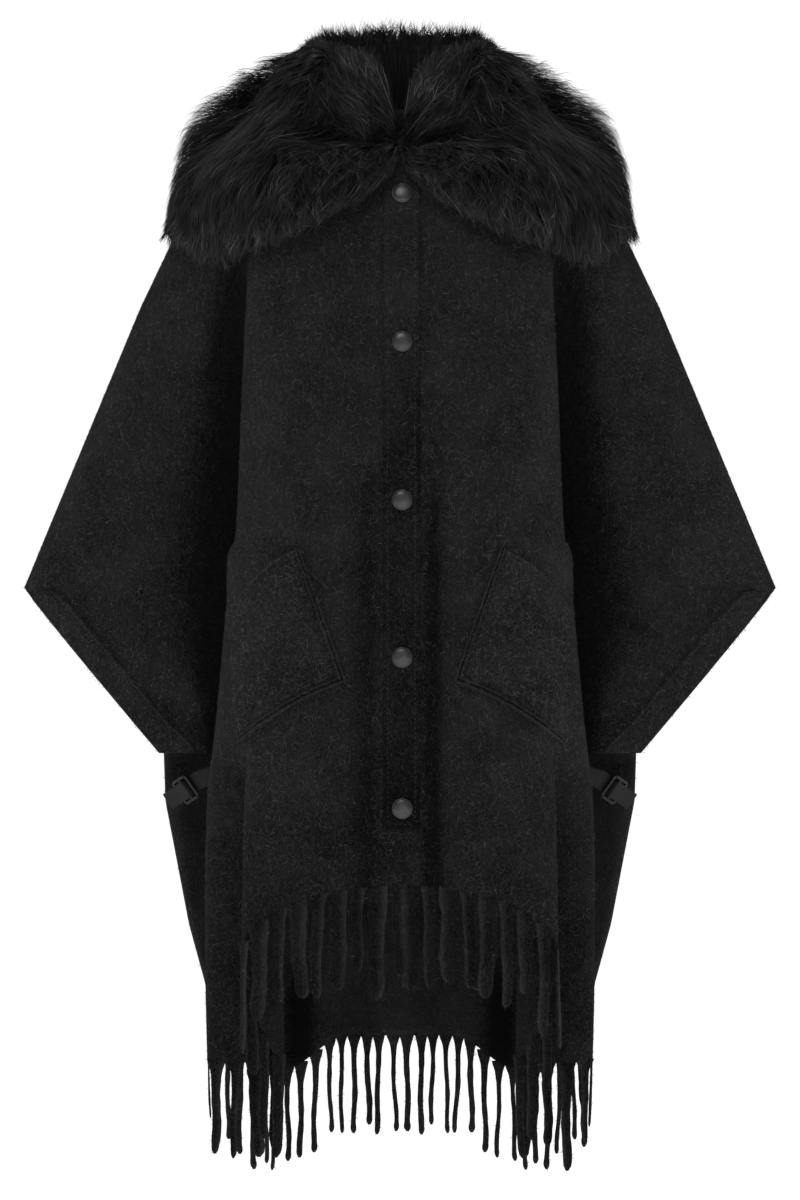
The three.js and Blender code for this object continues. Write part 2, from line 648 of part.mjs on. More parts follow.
{
  const ringAt = (station) => {
    const { panel, place } = station;
    const round = panel === backHalf ? 2 - place / BACK_SPANS : place / FRONT_SPANS;
    const { at, away, depth } = neckPoint(station);
    const start = depth + collarStart(round);
    const end = collarEnd(round);
    const height = collarHeight(round);
    const overPlacket = 1 - THREE.MathUtils.smoothstep(at.x, 10, 34);
    const overArm = 1 - THREE.MathUtils.smoothstep(Math.abs(round - 1), 0, 0.16);
    const clear = THREE.MathUtils.lerp(COLLAR_CLEAR, COLLAR_OVER_PLACKET, overPlacket);
    const down = (share) => THREE.MathUtils.lerp(start, end, share);
    const under = [0.16, 0.34, 0.54, 0.76, 1].map((share) =>
      lifted(panel, place, down(share), clear));
    const over = COLLAR_FALL.map(([share, full, arm]) =>
      lifted(panel, place, down(share), clear + THREE.MathUtils.lerp(full * height, arm, overArm)));
    const overBand = place < 1.3 && panel !== backHalf;
    const lip = overBand ? COLLAR_OVER_PLACKET : SEAM_GAP;
    const foot = overBand ? panel.point(place, start) : at;
    const crest = collarCrest(round);
    const upright = [[34, 0.72], [18, 1], [lip + 5, 0.86], [lip, 0.34], [lip, 0]]
      .map(([out, share]) => new THREE.Vector3(foot.x, foot.y,
        THREE.MathUtils.lerp(foot.z + 4, crest, share)).addScaledVector(away, out));
    return [...under, ...over, ...upright];
  };
  add("fur_collar", throughRings(aroundNeck(ringAt), 1), FUR);
}

/** The tiny ring snap on the band's front end. */
{
  const { at, away } = neckPoint({ panel: fronts.r, place: 0.35 });
  const ring = [[0, 0], [1, 0], [1, 0.35], [0.7, 0.55], [0.45, 0.2], [0, 0.2]]
    .map(([r, h]) => new THREE.Vector2(r * NECK_SNAP_RADIUS, h * NECK_SNAP_RADIUS));
  const facing = new THREE.Vector3(-away.x, away.y, 0);
  const spot = new THREE.Vector3(-at.x, at.y, at.z + 6.5).addScaledVector(facing, SEAM_GAP);
  const turn = new THREE.Quaternion().setFromUnitVectors(new THREE.Vector3(0, 1, 0), facing);
  add("neck_snap", new THREE.LatheGeometry(ring, 14), METAL, { at: spot, turn });
}

// Side straps

/** A flat strap along a path, with a direction for its width at each point. */
function ribbon(path, widths, width, wall) {
  const rings = path.map((point, k) => {
    const run = (path[k + 1] ?? point).clone().sub(path[k - 1] ?? point).normalize();
    const wide = widths[k].clone().addScaledVector(run, -widths[k].dot(run)).normalize();
    const thick = new THREE.Vector3().crossVectors(run, wide);
    return [[-1, -1], [1, -1], [1, 1], [-1, 1]].map(([a, b]) => point.clone()
      .addScaledVector(wide, (a * width) / 2).addScaledVector(thick, (b * wall) / 2));
  });
  return throughRings(rings, 1);
}

/** The slider's flat frame: two slots with a bar between them. */
function sliderFrame() {
  const [w, h, rail] = [SLIDER_WIDTH / 2, SLIDER_HEIGHT / 2, SLIDER_RAIL];
  const outline = new THREE.Shape([[-w, -h], [w, -h], [w, h], [-w, h]]
    .map(([x, y]) => new THREE.Vector2(x, y)));
  for (const way of [-1, 1]) {
    const [near, far] = [way * (rail / 2), way * (h - rail)];
    outline.holes.push(new THREE.Path([[rail - w, near], [w - rail, near], [w - rail, far],
      [rail - w, far]].map(([x, y]) => new THREE.Vector2(x, y))));
  }
  const frame = new THREE.ExtrudeGeometry(outline, { depth: SLIDER_WALL, bevelEnabled: false });
  return frame.translate(0, 0, -SLIDER_WALL / 2);
}

/** The strap leaves the front's side edge, runs out and down to the slider on the back's loop. */
for (const { tag, side } of SIDES) {
  const toSide = (vector) => new THREE.Vector3(side * vector.x, vector.y, vector.z);
  const middle = toSide(SLIDER_AT);
  const run = toSide(STRAP_RUN).normalize();
  const viewer = new THREE.Vector3(0, -1, 0);
  const towards = viewer.clone().addScaledVector(run, -viewer.dot(run)).normalize();
  const across = new THREE.Vector3().crossVectors(towards, run);
  const spot = (alongRun, out) =>
    middle.clone().addScaledVector(run, alongRun).addScaledVector(towards, out);
  const pass = SLIDER_WALL / 2 + SEAM_GAP + STRAP_WALL / 2;
  const [end, bar] = [SLIDER_HEIGHT / 2, SLIDER_RAIL / 2];
  const slot = (end - SLIDER_RAIL + bar) / 2;

  const edge = (depth) => toSide(fronts[tag].point(BODY_SPANS, depth));
  const edgeRun = edge(STRAP_DEPTH - 6).sub(edge(STRAP_DEPTH + 6)).multiplyScalar(side);
  const sewn = edge(STRAP_DEPTH).add(toSide(new THREE.Vector3(-1.2, 1.4, 0)));
  const route = [sewn, sewn.clone().add(toSide(new THREE.Vector3(3, 9, -2))),
    spot(-end - 10, -pass - 1), spot(SLIDER_RAIL - end - 0.3, -pass), spot(-slot - 1, 0.8 - pass),
    spot(-slot + 1, pass - 0.8), spot(-bar, pass), spot(bar, pass), spot(end + 2, pass),
    spot(end + 14, pass + 1)];
  const widths = route.map((_, k) => (k === 0 ? edgeRun : across));
  add(`strap_${tag}`, ribbon(route, widths, STRAP_WIDTH, STRAP_WALL), WEBBING);

  const turn = new THREE.Quaternion().setFromRotationMatrix(
    new THREE.Matrix4().makeBasis(across, run, towards.clone().negate()));
  add(`slider_${tag}`, sliderFrame(), METAL, { at: middle, turn });

  const outward = toSide(outwardAt(backHalf, BASE_PLACE, BASE_DEPTH));
  const inside = (depth) => toSide(lifted(backHalf, BASE_PLACE, depth, -WALL));
  const up = inside(BASE_DEPTH - 8).sub(inside(BASE_DEPTH + 8)).multiplyScalar(side);
  const base = [spot(end - SLIDER_RAIL - 1, -pass), spot(end + 1, -pass - 0.2), spot(end + 3, -pass - 1.4),
    inside(BASE_DEPTH).addScaledVector(outward, -7),
    inside(BASE_DEPTH).addScaledVector(outward, -BASE_GAP)];
  add(`strap_base_${tag}`, ribbon(base, [across, across, across, up, up], STRAP_WIDTH, STRAP_WALL), WEBBING);
}

// Fringe

/** A twisted strand hanging from a root: four-sided, a little bent, thinner at both ends. */
function strand(root, radius, length, number) {
  const sway = Math.sin(number * 2.4) * 3;
  const lean = Math.cos(number * 1.7) * 2;
  const levels = [[0, 0.45], [0.3, 1], [1, 0.65]];
  const rings = levels.map(([share, wide]) => [0, 1, 2, 3].map((corner) => {
    const angle = number + (corner * Math.PI) / 2 + share * 0.6;
    return new THREE.Vector3(
      root.x + sway * share * share + Math.cos(angle) * radius * wide,
      root.y + lean * share * share + Math.sin(angle) * radius * wide,
      root.z - share * length,
    );
  }));
  return throughRings(rings, -1);
}

/** Both faces of the narrow strip just below a hem. */
function stripBelow(panel, hemAt, places) {
  const depthsOf = (place) => [hemAt(place) + HEM_GAP, hemAt(place) + FRINGE_STRIP];
  return [0, -WALL].map((distance) => gridOver(panel, places, depthsOf, distance));
}

/** Strand roots at equal steps of length along the hem of one side. */
function rootsAlong(panel, hemAt, lastPlace, count, inset, radius) {
  const fine = Array.from({ length: 241 }, (_, k) => (lastPlace * k) / 240);
  const line = fine.map((place) => panel.point(place, hemAt(place)));
  const reach = [0];
  for (let k = 1; k < line.length; k += 1) {
    const step = Math.hypot(line[k].x - line[k - 1].x, line[k].y - line[k - 1].y);
    reach.push(reach[k - 1] + step);
  }
  const whole = reach[reach.length - 1];
  return Array.from({ length: count }, (_, k) => {
    const wanted = THREE.MathUtils.lerp(inset, whole - inset, k / (count - 1));
    const found = reach.findIndex((length) => length >= wanted);
    const end = found < 0 ? reach.length - 1 : Math.max(found, 1);
    const part = Math.min((wanted - reach[end - 1]) / (reach[end] - reach[end - 1]), 1);
    const place = THREE.MathUtils.lerp(fine[end - 1], fine[end], part);
    const [low, high] = [Math.max(place - 0.05, 0), Math.min(place + 0.05, lastPlace)];
    const [before, after, share] = columnsAt(panel, place);
    const level = THREE.MathUtils.lerp(hemAt(before), hemAt(after), share);
    const steep = Math.abs(hemAt(high) - hemAt(low))
      / panel.point(low, level).distanceTo(panel.point(high, level));
    const below = FRINGE_STRIP * 0.45 + Math.min(steep * radius * 0.6, FRINGE_STRIP * 0.4);
    return laid(panel, place, level + below, -WALL / 2);
  });
}

for (const { tag, side } of SIDES) {
  const panel = fronts[tag];
  const places = frontPlaces.slice(0, bodyColumns + 1);
  const [outer, inner] = stripBelow(panel, frontHem, places);
  const band = wallBetween(onSide(outer, side), onSide(inner, side), side);
  const roots = rootsAlong(panel, frontHem, BODY_SPANS, FRONT_STRANDS, FRONT_STRAND_RADIUS + 0.4,
    FRONT_STRAND_RADIUS);
  const strands = roots.map((root, k) => {
    const length = FRINGE_LENGTH + 6 * Math.sin(k * 1.9);
    return strand(new THREE.Vector3(side * root.x, root.y, root.z), FRONT_STRAND_RADIUS, length, k);
  });
  add(`fringe_front_${tag}`, joined([band, ...strands]), WOOL);
}

{
  const [outer, inner] = stripBelow(backHalf, backHem, backPlaces);
  const band = wallBetween(acrossBack(outer), acrossBack(inner), -1);
  const half = (BACK_STRANDS + 1) / 2;
  const roots = rootsAlong(backHalf, backHem, BACK_SPANS, half, 0, BACK_STRAND_RADIUS);
  const strands = roots.flatMap((root, k) => {
    const length = FRINGE_LENGTH - 3 + 5 * Math.sin(k * 2.3);
    const inner = Math.min(root.x, roots[half - 1].x - BACK_STRAND_RADIUS);
    const both = k === 0 ? [1] : [1, -1];
    return both.map((side) => strand(new THREE.Vector3(side * inner, root.y, root.z),
      BACK_STRAND_RADIUS, length, k * 2 + side));
  });
  add("fringe_back", joined([band, ...strands]), WOOL);
}

export default cloak;
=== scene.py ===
import bpy
import numpy as np
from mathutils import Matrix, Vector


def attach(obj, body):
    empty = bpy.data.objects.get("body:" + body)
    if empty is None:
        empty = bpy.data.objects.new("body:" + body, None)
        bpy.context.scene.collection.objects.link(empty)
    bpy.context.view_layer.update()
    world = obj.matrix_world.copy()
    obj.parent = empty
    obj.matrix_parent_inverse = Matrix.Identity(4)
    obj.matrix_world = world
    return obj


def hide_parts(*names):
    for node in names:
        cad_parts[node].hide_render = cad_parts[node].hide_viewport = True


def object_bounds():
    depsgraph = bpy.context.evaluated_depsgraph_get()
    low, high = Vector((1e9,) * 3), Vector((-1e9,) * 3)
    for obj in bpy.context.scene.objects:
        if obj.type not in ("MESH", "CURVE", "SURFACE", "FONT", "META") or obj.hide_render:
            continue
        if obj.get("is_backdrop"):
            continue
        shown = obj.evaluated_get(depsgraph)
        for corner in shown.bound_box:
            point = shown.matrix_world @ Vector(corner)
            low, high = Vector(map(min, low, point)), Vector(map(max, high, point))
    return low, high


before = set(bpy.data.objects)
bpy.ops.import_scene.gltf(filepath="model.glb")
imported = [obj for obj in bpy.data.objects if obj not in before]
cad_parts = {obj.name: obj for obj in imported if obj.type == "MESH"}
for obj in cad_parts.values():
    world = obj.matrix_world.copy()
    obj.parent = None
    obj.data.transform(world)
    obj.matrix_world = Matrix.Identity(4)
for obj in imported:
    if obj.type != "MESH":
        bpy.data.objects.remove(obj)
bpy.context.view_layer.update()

# The fronts: two pieces of thick brushed wool, each cut in one with the front half of a wing sleeve.
# They meet under the placket, hang from the neck over the chest, turn in at a deep side fold and
# open out into the wing. Sizes are in millimetres below, and turn into metres as a mesh is made.
MM = 0.001
WALL = 2.6
SEAM_GAP = 0.3
FRONT_EDGE_X = 3.5
TIP_DEPTH = 435
CUFF_END_DEPTH = 591
NECK_DROP = 10
BODY_SPANS = 5

# A row for each height: depth below the neck, then x and y of each point from the middle outward.
FRONT_SECTIONS = np.array([
    [0, -72, 16, -71, 28, -66, 38, -59, 47, -50, 54, -39, 59, -27, 63, -13, 0],
    [30, -86, 40, -88, 66, -84, 82, -78, 97, -70, 109, -59, 120, -45, 131, -24, 0],
    [60, -97, 50, -101, 84, -99, 104, -93, 122, -84, 138, -70, 154, -54, 172, -32, 0],
    [105, -109, 58, -115, 94, -115, 116, -108, 134, -95, 146, -76, 168, -60, 198, -38, 0],
    [170, -118, 64, -127, 100, -127, 124, -119, 141, -101, 144, -68, 182, -53, 226, -36, 0],
    [260, -123, 68, -134, 104, -133, 130, -124, 146, -102, 138, -56, 195, -47, 262, -34, 0],
    [340, -126, 70, -137, 106, -136, 132, -126, 149, -102, 137, -48, 208, -43, 294, -32, 0],
    [390, -127, 71, -138, 107, -137, 135, -126, 152, -100, 138, -46, 216, -41, 312, -28, 0],
    [404, -127, 71, -138, 108, -137, 136, -125, 159, -98, 139, -45, 218, -40, 316, -27, 0],
    [435, -128, 72, -139, 109, -137, 139, -125, 160, -96, 141, -44, 224, -39, 325, -22, 0],
    [447, -128, 72, -139, 110, -137, 140, -124, 160, -95, 142, -43, 224, -39, 313, -27, -12],
    [470, -128, 73, -139, 111, -137, 143, -123, 162, -93, 144, -42, 222, -38, 293, -31, -22],
    [513, -128, 74, -139, 114, -136, 147, -120, 166, -89, 147, -40, 208, -37, 257, -33, -28],
    [560, -128, 74, -138, 122, -132, 150, -110, 171, -80, 153, -36, 186, -35, 218, -32, -27],
    [591, -127, 73, -137, 134, -120, 143, -92, 175, -68, 160, -28, 177, -32, 192, -30, -24],
    [620, -126, 72, -136, 141, -112, 126, -76, 178, -56, 170, -8, 177, -32, 192, -30, -24],
    [700, -124, 76, -133, 144, -110, 116, -64, 180, -48, 172, 4, 177, -32, 192, -30, -24],
    [790, -122, 78, -131, 146, -108, 112, -60, 180, -44, 172, 8, 177, -32, 192, -30, -24],
    [900, -121, 79, -130, 147, -107, 110, -58, 178, -42, 170, 10, 177, -32, 192, -30, -24],
], float)
OUTLINE = np.array([
    [0, 64.5], [12, 102], [30, 136], [60, 182], [85, 203], [105, 216], [170, 247], [435, 357],
    [591, 227], [640, 226], [700, 215], [760, 204], [820, 188], [910, 182]], float)
FRONT_HEM = [[0, 706], [1, 716], [2, 765], [2.75, 871], [3, 877], [4, 880], [5, 880]]

# Soft troughs of the front: x and depth at the top, x and depth at the foot, width and height.
FRONT_CREASES = {
    -1: [(31, 300, 29, 760, 12, 7.5), (56, 300, 50, 640, 17, 1.6), (76, 600, 92, 900, 16, -2.0),
         (96, 120, 62, 420, 15, 1.8), (20, 560, 46, 700, 10, 1.6), (112, 640, 110, 960, 12, 2.2)],
    1: [(29, 300, 27, 750, 9, 7.0), (50, 380, 58, 700, 15, 1.4), (74, 560, 94, 920, 17, -1.8),
        (90, 100, 60, 380, 17, 1.6), (38, 640, 60, 760, 12, 1.5), (108, 620, 112, 960, 13, 1.8)],
}
# How far the painted shade in the trough beside the placket reaches to each side, and how dark it is
BESIDE_PLACKET = {-1: (12, 0.45), 1: (8, 0.75)}


def smooth(rows):
    """A curve through rows of (place, value): a cubic between each two rows, whose slope at a row
    is the harmonic mean of the rises on both sides, or level where those change sign."""
    at, value = np.array(rows, float).T
    rise = np.diff(value) / np.diff(at)
    both, total = rise[:-1] * rise[1:], rise[:-1] + rise[1:]
    level = np.where(both > 0, 2 * both / np.where(total == 0, 1, total), 0)
    slope = np.concatenate([rise[:1], level, rise[-1:]])

    def curve(place):
        held = np.clip(place, at[0], at[-1])
        k = np.clip(np.searchsorted(at, held), 1, len(at) - 1)
        width = at[k] - at[k - 1]
        t = (held - at[k - 1]) / width
        u = 1 - t
        return (value[k - 1] * (1 + 2 * t) * u * u + value[k] * t * t * (3 - 2 * t)
                + width * (slope[k - 1] * t * u * u - slope[k] * t * t * u))

    return curve


def step_up(value, low, high):
    """Goes from 0 at low to 1 at high as 3t squared less 2t cubed."""
    t = np.clip((value - low) / (high - low), 0, 1)
    return t * t * (3 - 2 * t)


def bell(value, middle, width):
    """1 at the middle, falling to 1/e at a width from it: exp of less the square of their ratio."""
    return np.exp(-(((value - middle) / width) ** 2))


def unit(vector):
    return vector / np.linalg.norm(vector, axis=-1, keepdims=True)


def between_points(a, b, c, d, t):
    """Catmull-Rom: the share t of the way from b to c, on a cubic whose slope at b is half of c less
    a, and at c half of d less b."""
    return 0.5 * (2 * b + (c - a) * t + (2 * a - 5 * b + 4 * c - d) * t ** 2
                  + (3 * b - a - 3 * c + d) * t ** 3)


def through(points, place):
    """The Catmull-Rom curve through points (point, xy, ...) at a place counted in points. The curve
    starts as if mirrored in its first point, and the last of the points lies past its end."""
    first = np.stack([2 * points[0, 0] - points[1, 0], points[1, 1]])
    points = np.concatenate([first[None], points])
    k = np.clip(np.floor(place).astype(int), 0, len(points) - 4)
    near = [np.take_along_axis(points, np.broadcast_to(k + n, (1, 2) + k.shape), 0)[0] for n in range(4)]
    return between_points(*near, place - k)


def troughs(x, depth, creases):
    """The sum of soft troughs: each is its height, times a bell across its slanting line, times half
    a sine wave along it."""
    total = np.zeros(np.broadcast(x, depth).shape)
    for top_x, top, foot_x, foot, width, height in creases:
        run = np.clip((depth - top) / (foot - top), 0, 1)
        off = x - top_x - (foot_x - top_x) * run
        total = total + height * bell(off, 0, width) * np.sin(np.pi * run) ** 0.8
    return total


class Panel:
    """A cloth panel's outer face, as a function of the place along its section and the depth."""

    def __init__(self, sections, spans, facing, middle_x, seam, fold):
        self.curves = [smooth(sections[:, [0, k]]) for k in range(1, sections.shape[1])]
        self.spans, self.facing, self.middle_x = spans, facing, middle_x
        self.seam, self.fold = seam, fold

    def at(self, place, depth):
        """Catmull-Rom across the section, whose points are the smooth curves down the cloth. Past
        the arm seam the section is mirrored, and past a free edge it runs straight on."""
        place, depth = np.broadcast_arrays(np.asarray(place, float), np.asarray(depth, float))
        values = [curve(depth) for curve in self.curves]
        xs = [np.full(depth.shape, float(self.middle_x)), *values[1:-1:2],
              np.interp(depth, *OUTLINE.T)]
        ys = [values[0], *values[2:-1:2], values[-1] + self.seam]
        beyond_x = np.where(depth <= TIP_DEPTH, xs[-2], 2 * xs[-1] - xs[-2])
        points = np.stack([np.stack(xs + [beyond_x]), np.stack(ys + [2 * ys[-1] - ys[-2]])], 1)
        x, y = through(points, place)
        return np.stack([x, y + self.fold(x, depth), -depth], -1)

    def square(self, place, depth):
        """The unit direction square to the cloth: across the section times down the cloth."""
        place, depth = np.broadcast_arrays(np.asarray(place, float), np.asarray(depth, float))
        low, high = np.maximum(place - 0.01, 0), np.minimum(place + 0.01, self.spans)
        across = self.at(high, depth) - self.at(low, depth)
        down = self.at(place, depth + 1) - self.at(place, np.maximum(depth - 1, 0))
        out = np.cross(across, down) * self.facing
        out[..., 1] *= ~((place >= self.spans) & (depth <= TIP_DEPTH))
        out[..., 0] *= place > 0
        return unit(out)

    def lifted(self, place, depth, distance):
        """The cloth's point moved square to it by a distance, away from the body."""
        distance = np.asarray(distance, float)
        return self.at(place, depth) + self.square(place, depth) * distance[..., None]

    def place_of(self, x, depth, low, high):
        """The place between low and high where the cloth passes x, halved in on 24 times."""
        low, high = np.full(np.shape(x), float(low)), np.full(np.shape(x), float(high))
        for _ in range(24):
            middle = (low + high) / 2
            short = self.at(middle, depth)[..., 0] < x
            low, high = np.where(short, middle, low), np.where(short, high, middle)
        return (low + high) / 2


def front_panel(side):
    return Panel(FRONT_SECTIONS, 8, -1, side * FRONT_EDGE_X + SEAM_GAP / 2, -SEAM_GAP / 2,
                 lambda x, depth: troughs(x, depth, FRONT_CREASES[side]))


def shell(outer, inner, kept=None):
    """A closed wall between two grids of points: both faces, and a rim where the cloth ends. The
    squares of the outer face come first. The points' numbers in both grids are given as well."""
    rows, columns = outer.shape[:2]
    number = np.arange(rows * columns).reshape(rows, columns)
    under = number + rows * columns
    kept = np.ones((rows - 1, columns - 1), bool) if kept is None else kept
    r, c = np.nonzero(kept)
    faces = [[number[r, c], number[r + 1, c], number[r + 1, c + 1], number[r, c + 1]],
             [under[r, c], under[r, c + 1], under[r + 1, c + 1], under[r + 1, c]]]
    ringed = np.pad(kept, 1)
    for beside, start, end in [(ringed[:-2, 1:-1], (0, 0), (0, 1)), (ringed[2:, 1:-1], (1, 1), (1, 0)),
                               (ringed[1:-1, :-2], (1, 0), (0, 0)), (ringed[1:-1, 2:], (0, 1), (1, 1))]:
        r, c = np.nonzero(kept & ~beside)
        a, b = (r + start[0], c + start[1]), (r + end[0], c + end[1])
        faces.append([number[a], number[b], under[b], under[a]])
    faces = np.concatenate([np.stack(face, 1) for face in faces])
    used, faces = np.unique(faces, return_inverse=True)
    points = np.concatenate([outer.reshape(-1, 3), inner.reshape(-1, 3)])[used]
    return points, faces.reshape(-1, 4), used % (rows * columns)


def make_piece(name, points, faces, finish, slot, replaces=(), side=1, marks=None):
    """Puts points in millimetres and arrays of three- or four-sided faces into a mesh that rides on
    the cloak. Side -1 mirrors it to the wearer's right and turns its faces round again."""
    faces = [faces] if isinstance(faces, np.ndarray) else faces
    points = np.asarray(points, float).reshape(-1, 3) * [side * MM, MM, MM]
    faces = [face[:, ::side] for face in faces]
    sizes = np.concatenate([np.full(len(face), face.shape[1]) for face in faces])
    corners = np.concatenate([face.ravel() for face in faces])
    mesh = bpy.data.meshes.new(name)
    mesh.vertices.add(len(points))
    mesh.vertices.foreach_set("co", points.ravel())
    mesh.loops.add(len(corners))
    mesh.loops.foreach_set("vertex_index", corners.astype(np.int32))
    mesh.polygons.add(len(sizes))
    mesh.polygons.foreach_set("loop_start", (np.cumsum(sizes) - sizes).astype(np.int32))
    mesh.update(calc_edges=True)
    mesh.polygons.foreach_set("use_smooth", np.ones(len(sizes), bool))
    for mark, values in (marks or {}).items():
        mesh.attributes.new(mark, "FLOAT", "POINT").data.foreach_set(
            "value", np.ascontiguousarray(values, np.float32).ravel())
    mesh.materials.append(finish)
    piece = bpy.data.objects.new(name, mesh)
    bpy.context.scene.collection.objects.link(piece)
    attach(piece, "root")
    if replaces:
        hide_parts(*replaces)
    return piece


class Shade:
    """One output of a shader node, so that a pattern can be written as sums and products."""

    def __init__(self, tree, socket):
        self.tree, self.socket = tree, socket

    def node(self, kind, settings, sockets, out=0):
        """Adds a node of a kind, makes its settings, then sets or links its sockets."""
        made = self.tree.nodes.new("ShaderNode" + kind)
        for name, value in settings.items():
            setattr(made, name, value)
        self.fill(made, sockets)
        return Shade(self.tree, made.outputs[out])

    def fill(self, made, sockets):
        for name, value in sockets.items():
            if isinstance(value, Shade):
                self.tree.links.new(value.socket, made.inputs[name])
            else:
                made.inputs[name].default_value = value

    def maths(self, operation, first, second):
        return self.node("Math", {"operation": operation}, {0: first, 1: second})

    def __add__(self, other):
        return self.maths("ADD", self, other)

    def __sub__(self, other):
        return self.maths("SUBTRACT", self, other)

    def __rsub__(self, other):
        return self.maths("SUBTRACT", other, self)

    def __mul__(self, other):
        return self.maths("MULTIPLY", self, other)

    __radd__ = __add__
    __rmul__ = __mul__

    def between(self, low, high):
        """0 at low and below, 1 at high and above."""
        return self.node("MapRange", {"clamp": True}, {0: self, 1: low, 2: high, 3: 0.0, 4: 1.0})

    def blend(self, dark, light):
        """The colour that lies this share of the way from dark to light."""
        return self.node("Mix", {"data_type": "RGBA"}, {0: self, 6: (*dark, 1), 7: (*light, 1)}, 2)


def new_finish(name):
    """A material with its shader, and the place on the piece to make patterns from."""
    material = bpy.data.materials.new(name)
    material.use_nodes = True
    tree = material.node_tree
    skin = tree.nodes["Principled BSDF"]
    place = Shade(tree, tree.nodes.new("ShaderNodeTexCoord").outputs["Object"])
    return material, skin, place


def wool_finish(name, dark, light, relief, sheen=0.015):
    """Brushed wool: a fine grain, and two sizes of curled fibres along the level lines of noise, over
    broad soft patches of tone. The mark fold is painted light and shade: where it is above nought it
    darkens the colour as painted shade, and where it is below nought it lightens it as painted highlight."""
    material, skin, place = new_finish(name)
    upright = place.node("Mapping", {}, {0: place, "Scale": (1, 1, 0.6)})
    grain = place.node("TexNoise", {}, {"Vector": upright, "Scale": 560, "Detail": 3, "Roughness": 0.7})
    curls = place.node("TexNoise", {}, {"Vector": place, "Scale": 130, "Detail": 2, "Roughness": 0.6,
                                        "Distortion": 2.0})
    upper = place.node("TexNoise", {}, {"Vector": upright, "Scale": 200, "Detail": 2, "Distortion": 1.4})
    patches = place.node("TexNoise", {}, {"Vector": place, "Scale": 22, "Detail": 3})
    fibres = place.maths("PINGPONG", curls * 5, 0.5).between(0.3, 0.5)
    crinkles = place.maths("PINGPONG", upper * 4, 0.5).between(0.26, 0.5)
    # The mark fold carries painted shade (above nought) and painted highlight (below nought).
    painted_light_and_shade = place.node("Attribute", {"attribute_name": "fold"}, {}, 2)
    tone = 0.24 * grain.between(0.4, 0.62) + 0.46 * fibres + 0.38 * crinkles
    tone = tone + 0.24 * patches.between(0.3, 0.7)
    bumps = 0.4 * grain + 0.55 * fibres + 0.45 * crinkles
    place.fill(skin, {
        "Base Color": (tone * (1 - 0.8 * painted_light_and_shade) - 0.3 * painted_light_and_shade).blend(dark, light),
        "Roughness": 0.98 - 0.1 * fibres,
        "Specular IOR Level": 0.05,
        "Sheen Weight": sheen,
        "Sheen Roughness": 0.5,
        "Normal": place.node("Bump", {}, {"Strength": relief, "Distance": 0.0024, "Height": bumps}),
    })
    return material


wool = wool_finish("brushed_wool", (0.0018, 0.0018, 0.0019), (0.046, 0.046, 0.0476), 1.0)

neck_to_cuff = np.concatenate([np.linspace(0, 60, 10), np.linspace(60, TIP_DEPTH, 54)[1:],
                               np.linspace(TIP_DEPTH, CUFF_END_DEPTH, 25)[1:]])


def front_grid(place):
    """Depths of the front's rows at each place: level to the cuff's end, then on to the hem."""
    hem = smooth(FRONT_HEM)(np.minimum(place, BODY_SPANS))
    neck = NECK_DROP * (1 - place / 8)
    upper = neck_to_cuff[:, None] + neck * (1 - step_up(neck_to_cuff, 0, 40))[:, None]
    lower = CUFF_END_DEPTH + (hem - CUFF_END_DEPTH) * np.linspace(0, 1, 41)[1:, None]
    return np.concatenate([upper, lower])


SIDES = {"r": -1, "l": 1}
fronts, front_cloth, brushed = {}, {}, []
front_places = np.linspace(0, 8, 8 * 10 + 1)
for tag, side in SIDES.items():
    fronts[tag] = front_panel(side)
    depths = front_grid(front_places)
    outer = fronts[tag].lifted(front_places, depths, np.zeros(depths.shape))
    inner = fronts[tag].lifted(front_places, depths, np.full(depths.shape, -WALL))
    row, column = np.indices(np.array(depths.shape) - 1)
    kept = (front_places[column] < BODY_SPANS - 0.01) | (row < len(neck_to_cuff) - 1)
    points, faces, number = shell(outer, inner, kept)
    # The fold mark is painted shade: darker in the valley between body and wing, at the wing's end, towards
    # the lower body, and in the trough beside the placket.
    valley = bell(np.maximum(abs(front_places - 5.1) - 0.3, 0), 0, 0.46) * step_up(depths, 60, 200)
    end = 0.7 * step_up(depths, 540, CUFF_END_DEPTH) * step_up(front_places, 4.9, 5.1)
    end = end * (1 - step_up(front_places, 6, 7.4))
    reach, share = BESIDE_PLACKET[side]
    beside = share * bell(abs(outer[..., 0]), 30, reach) * step_up(depths, 300, 420)
    low = 0.27 * step_up(depths, 520, 800)
    fold = np.clip(valley + end + low + beside * (1 - step_up(depths, 700, 820)), 0, 1)
    front_cloth[tag] = make_piece(f"cloth_front_{tag}", points, faces, wool, "wool", [f"front_{tag}"],
                                  side, {"fold": fold.ravel()[number]})
    brushed.append((f"nap_front_{tag}", points, faces[:kept.sum()], 21000, side, fold.ravel()[number]))

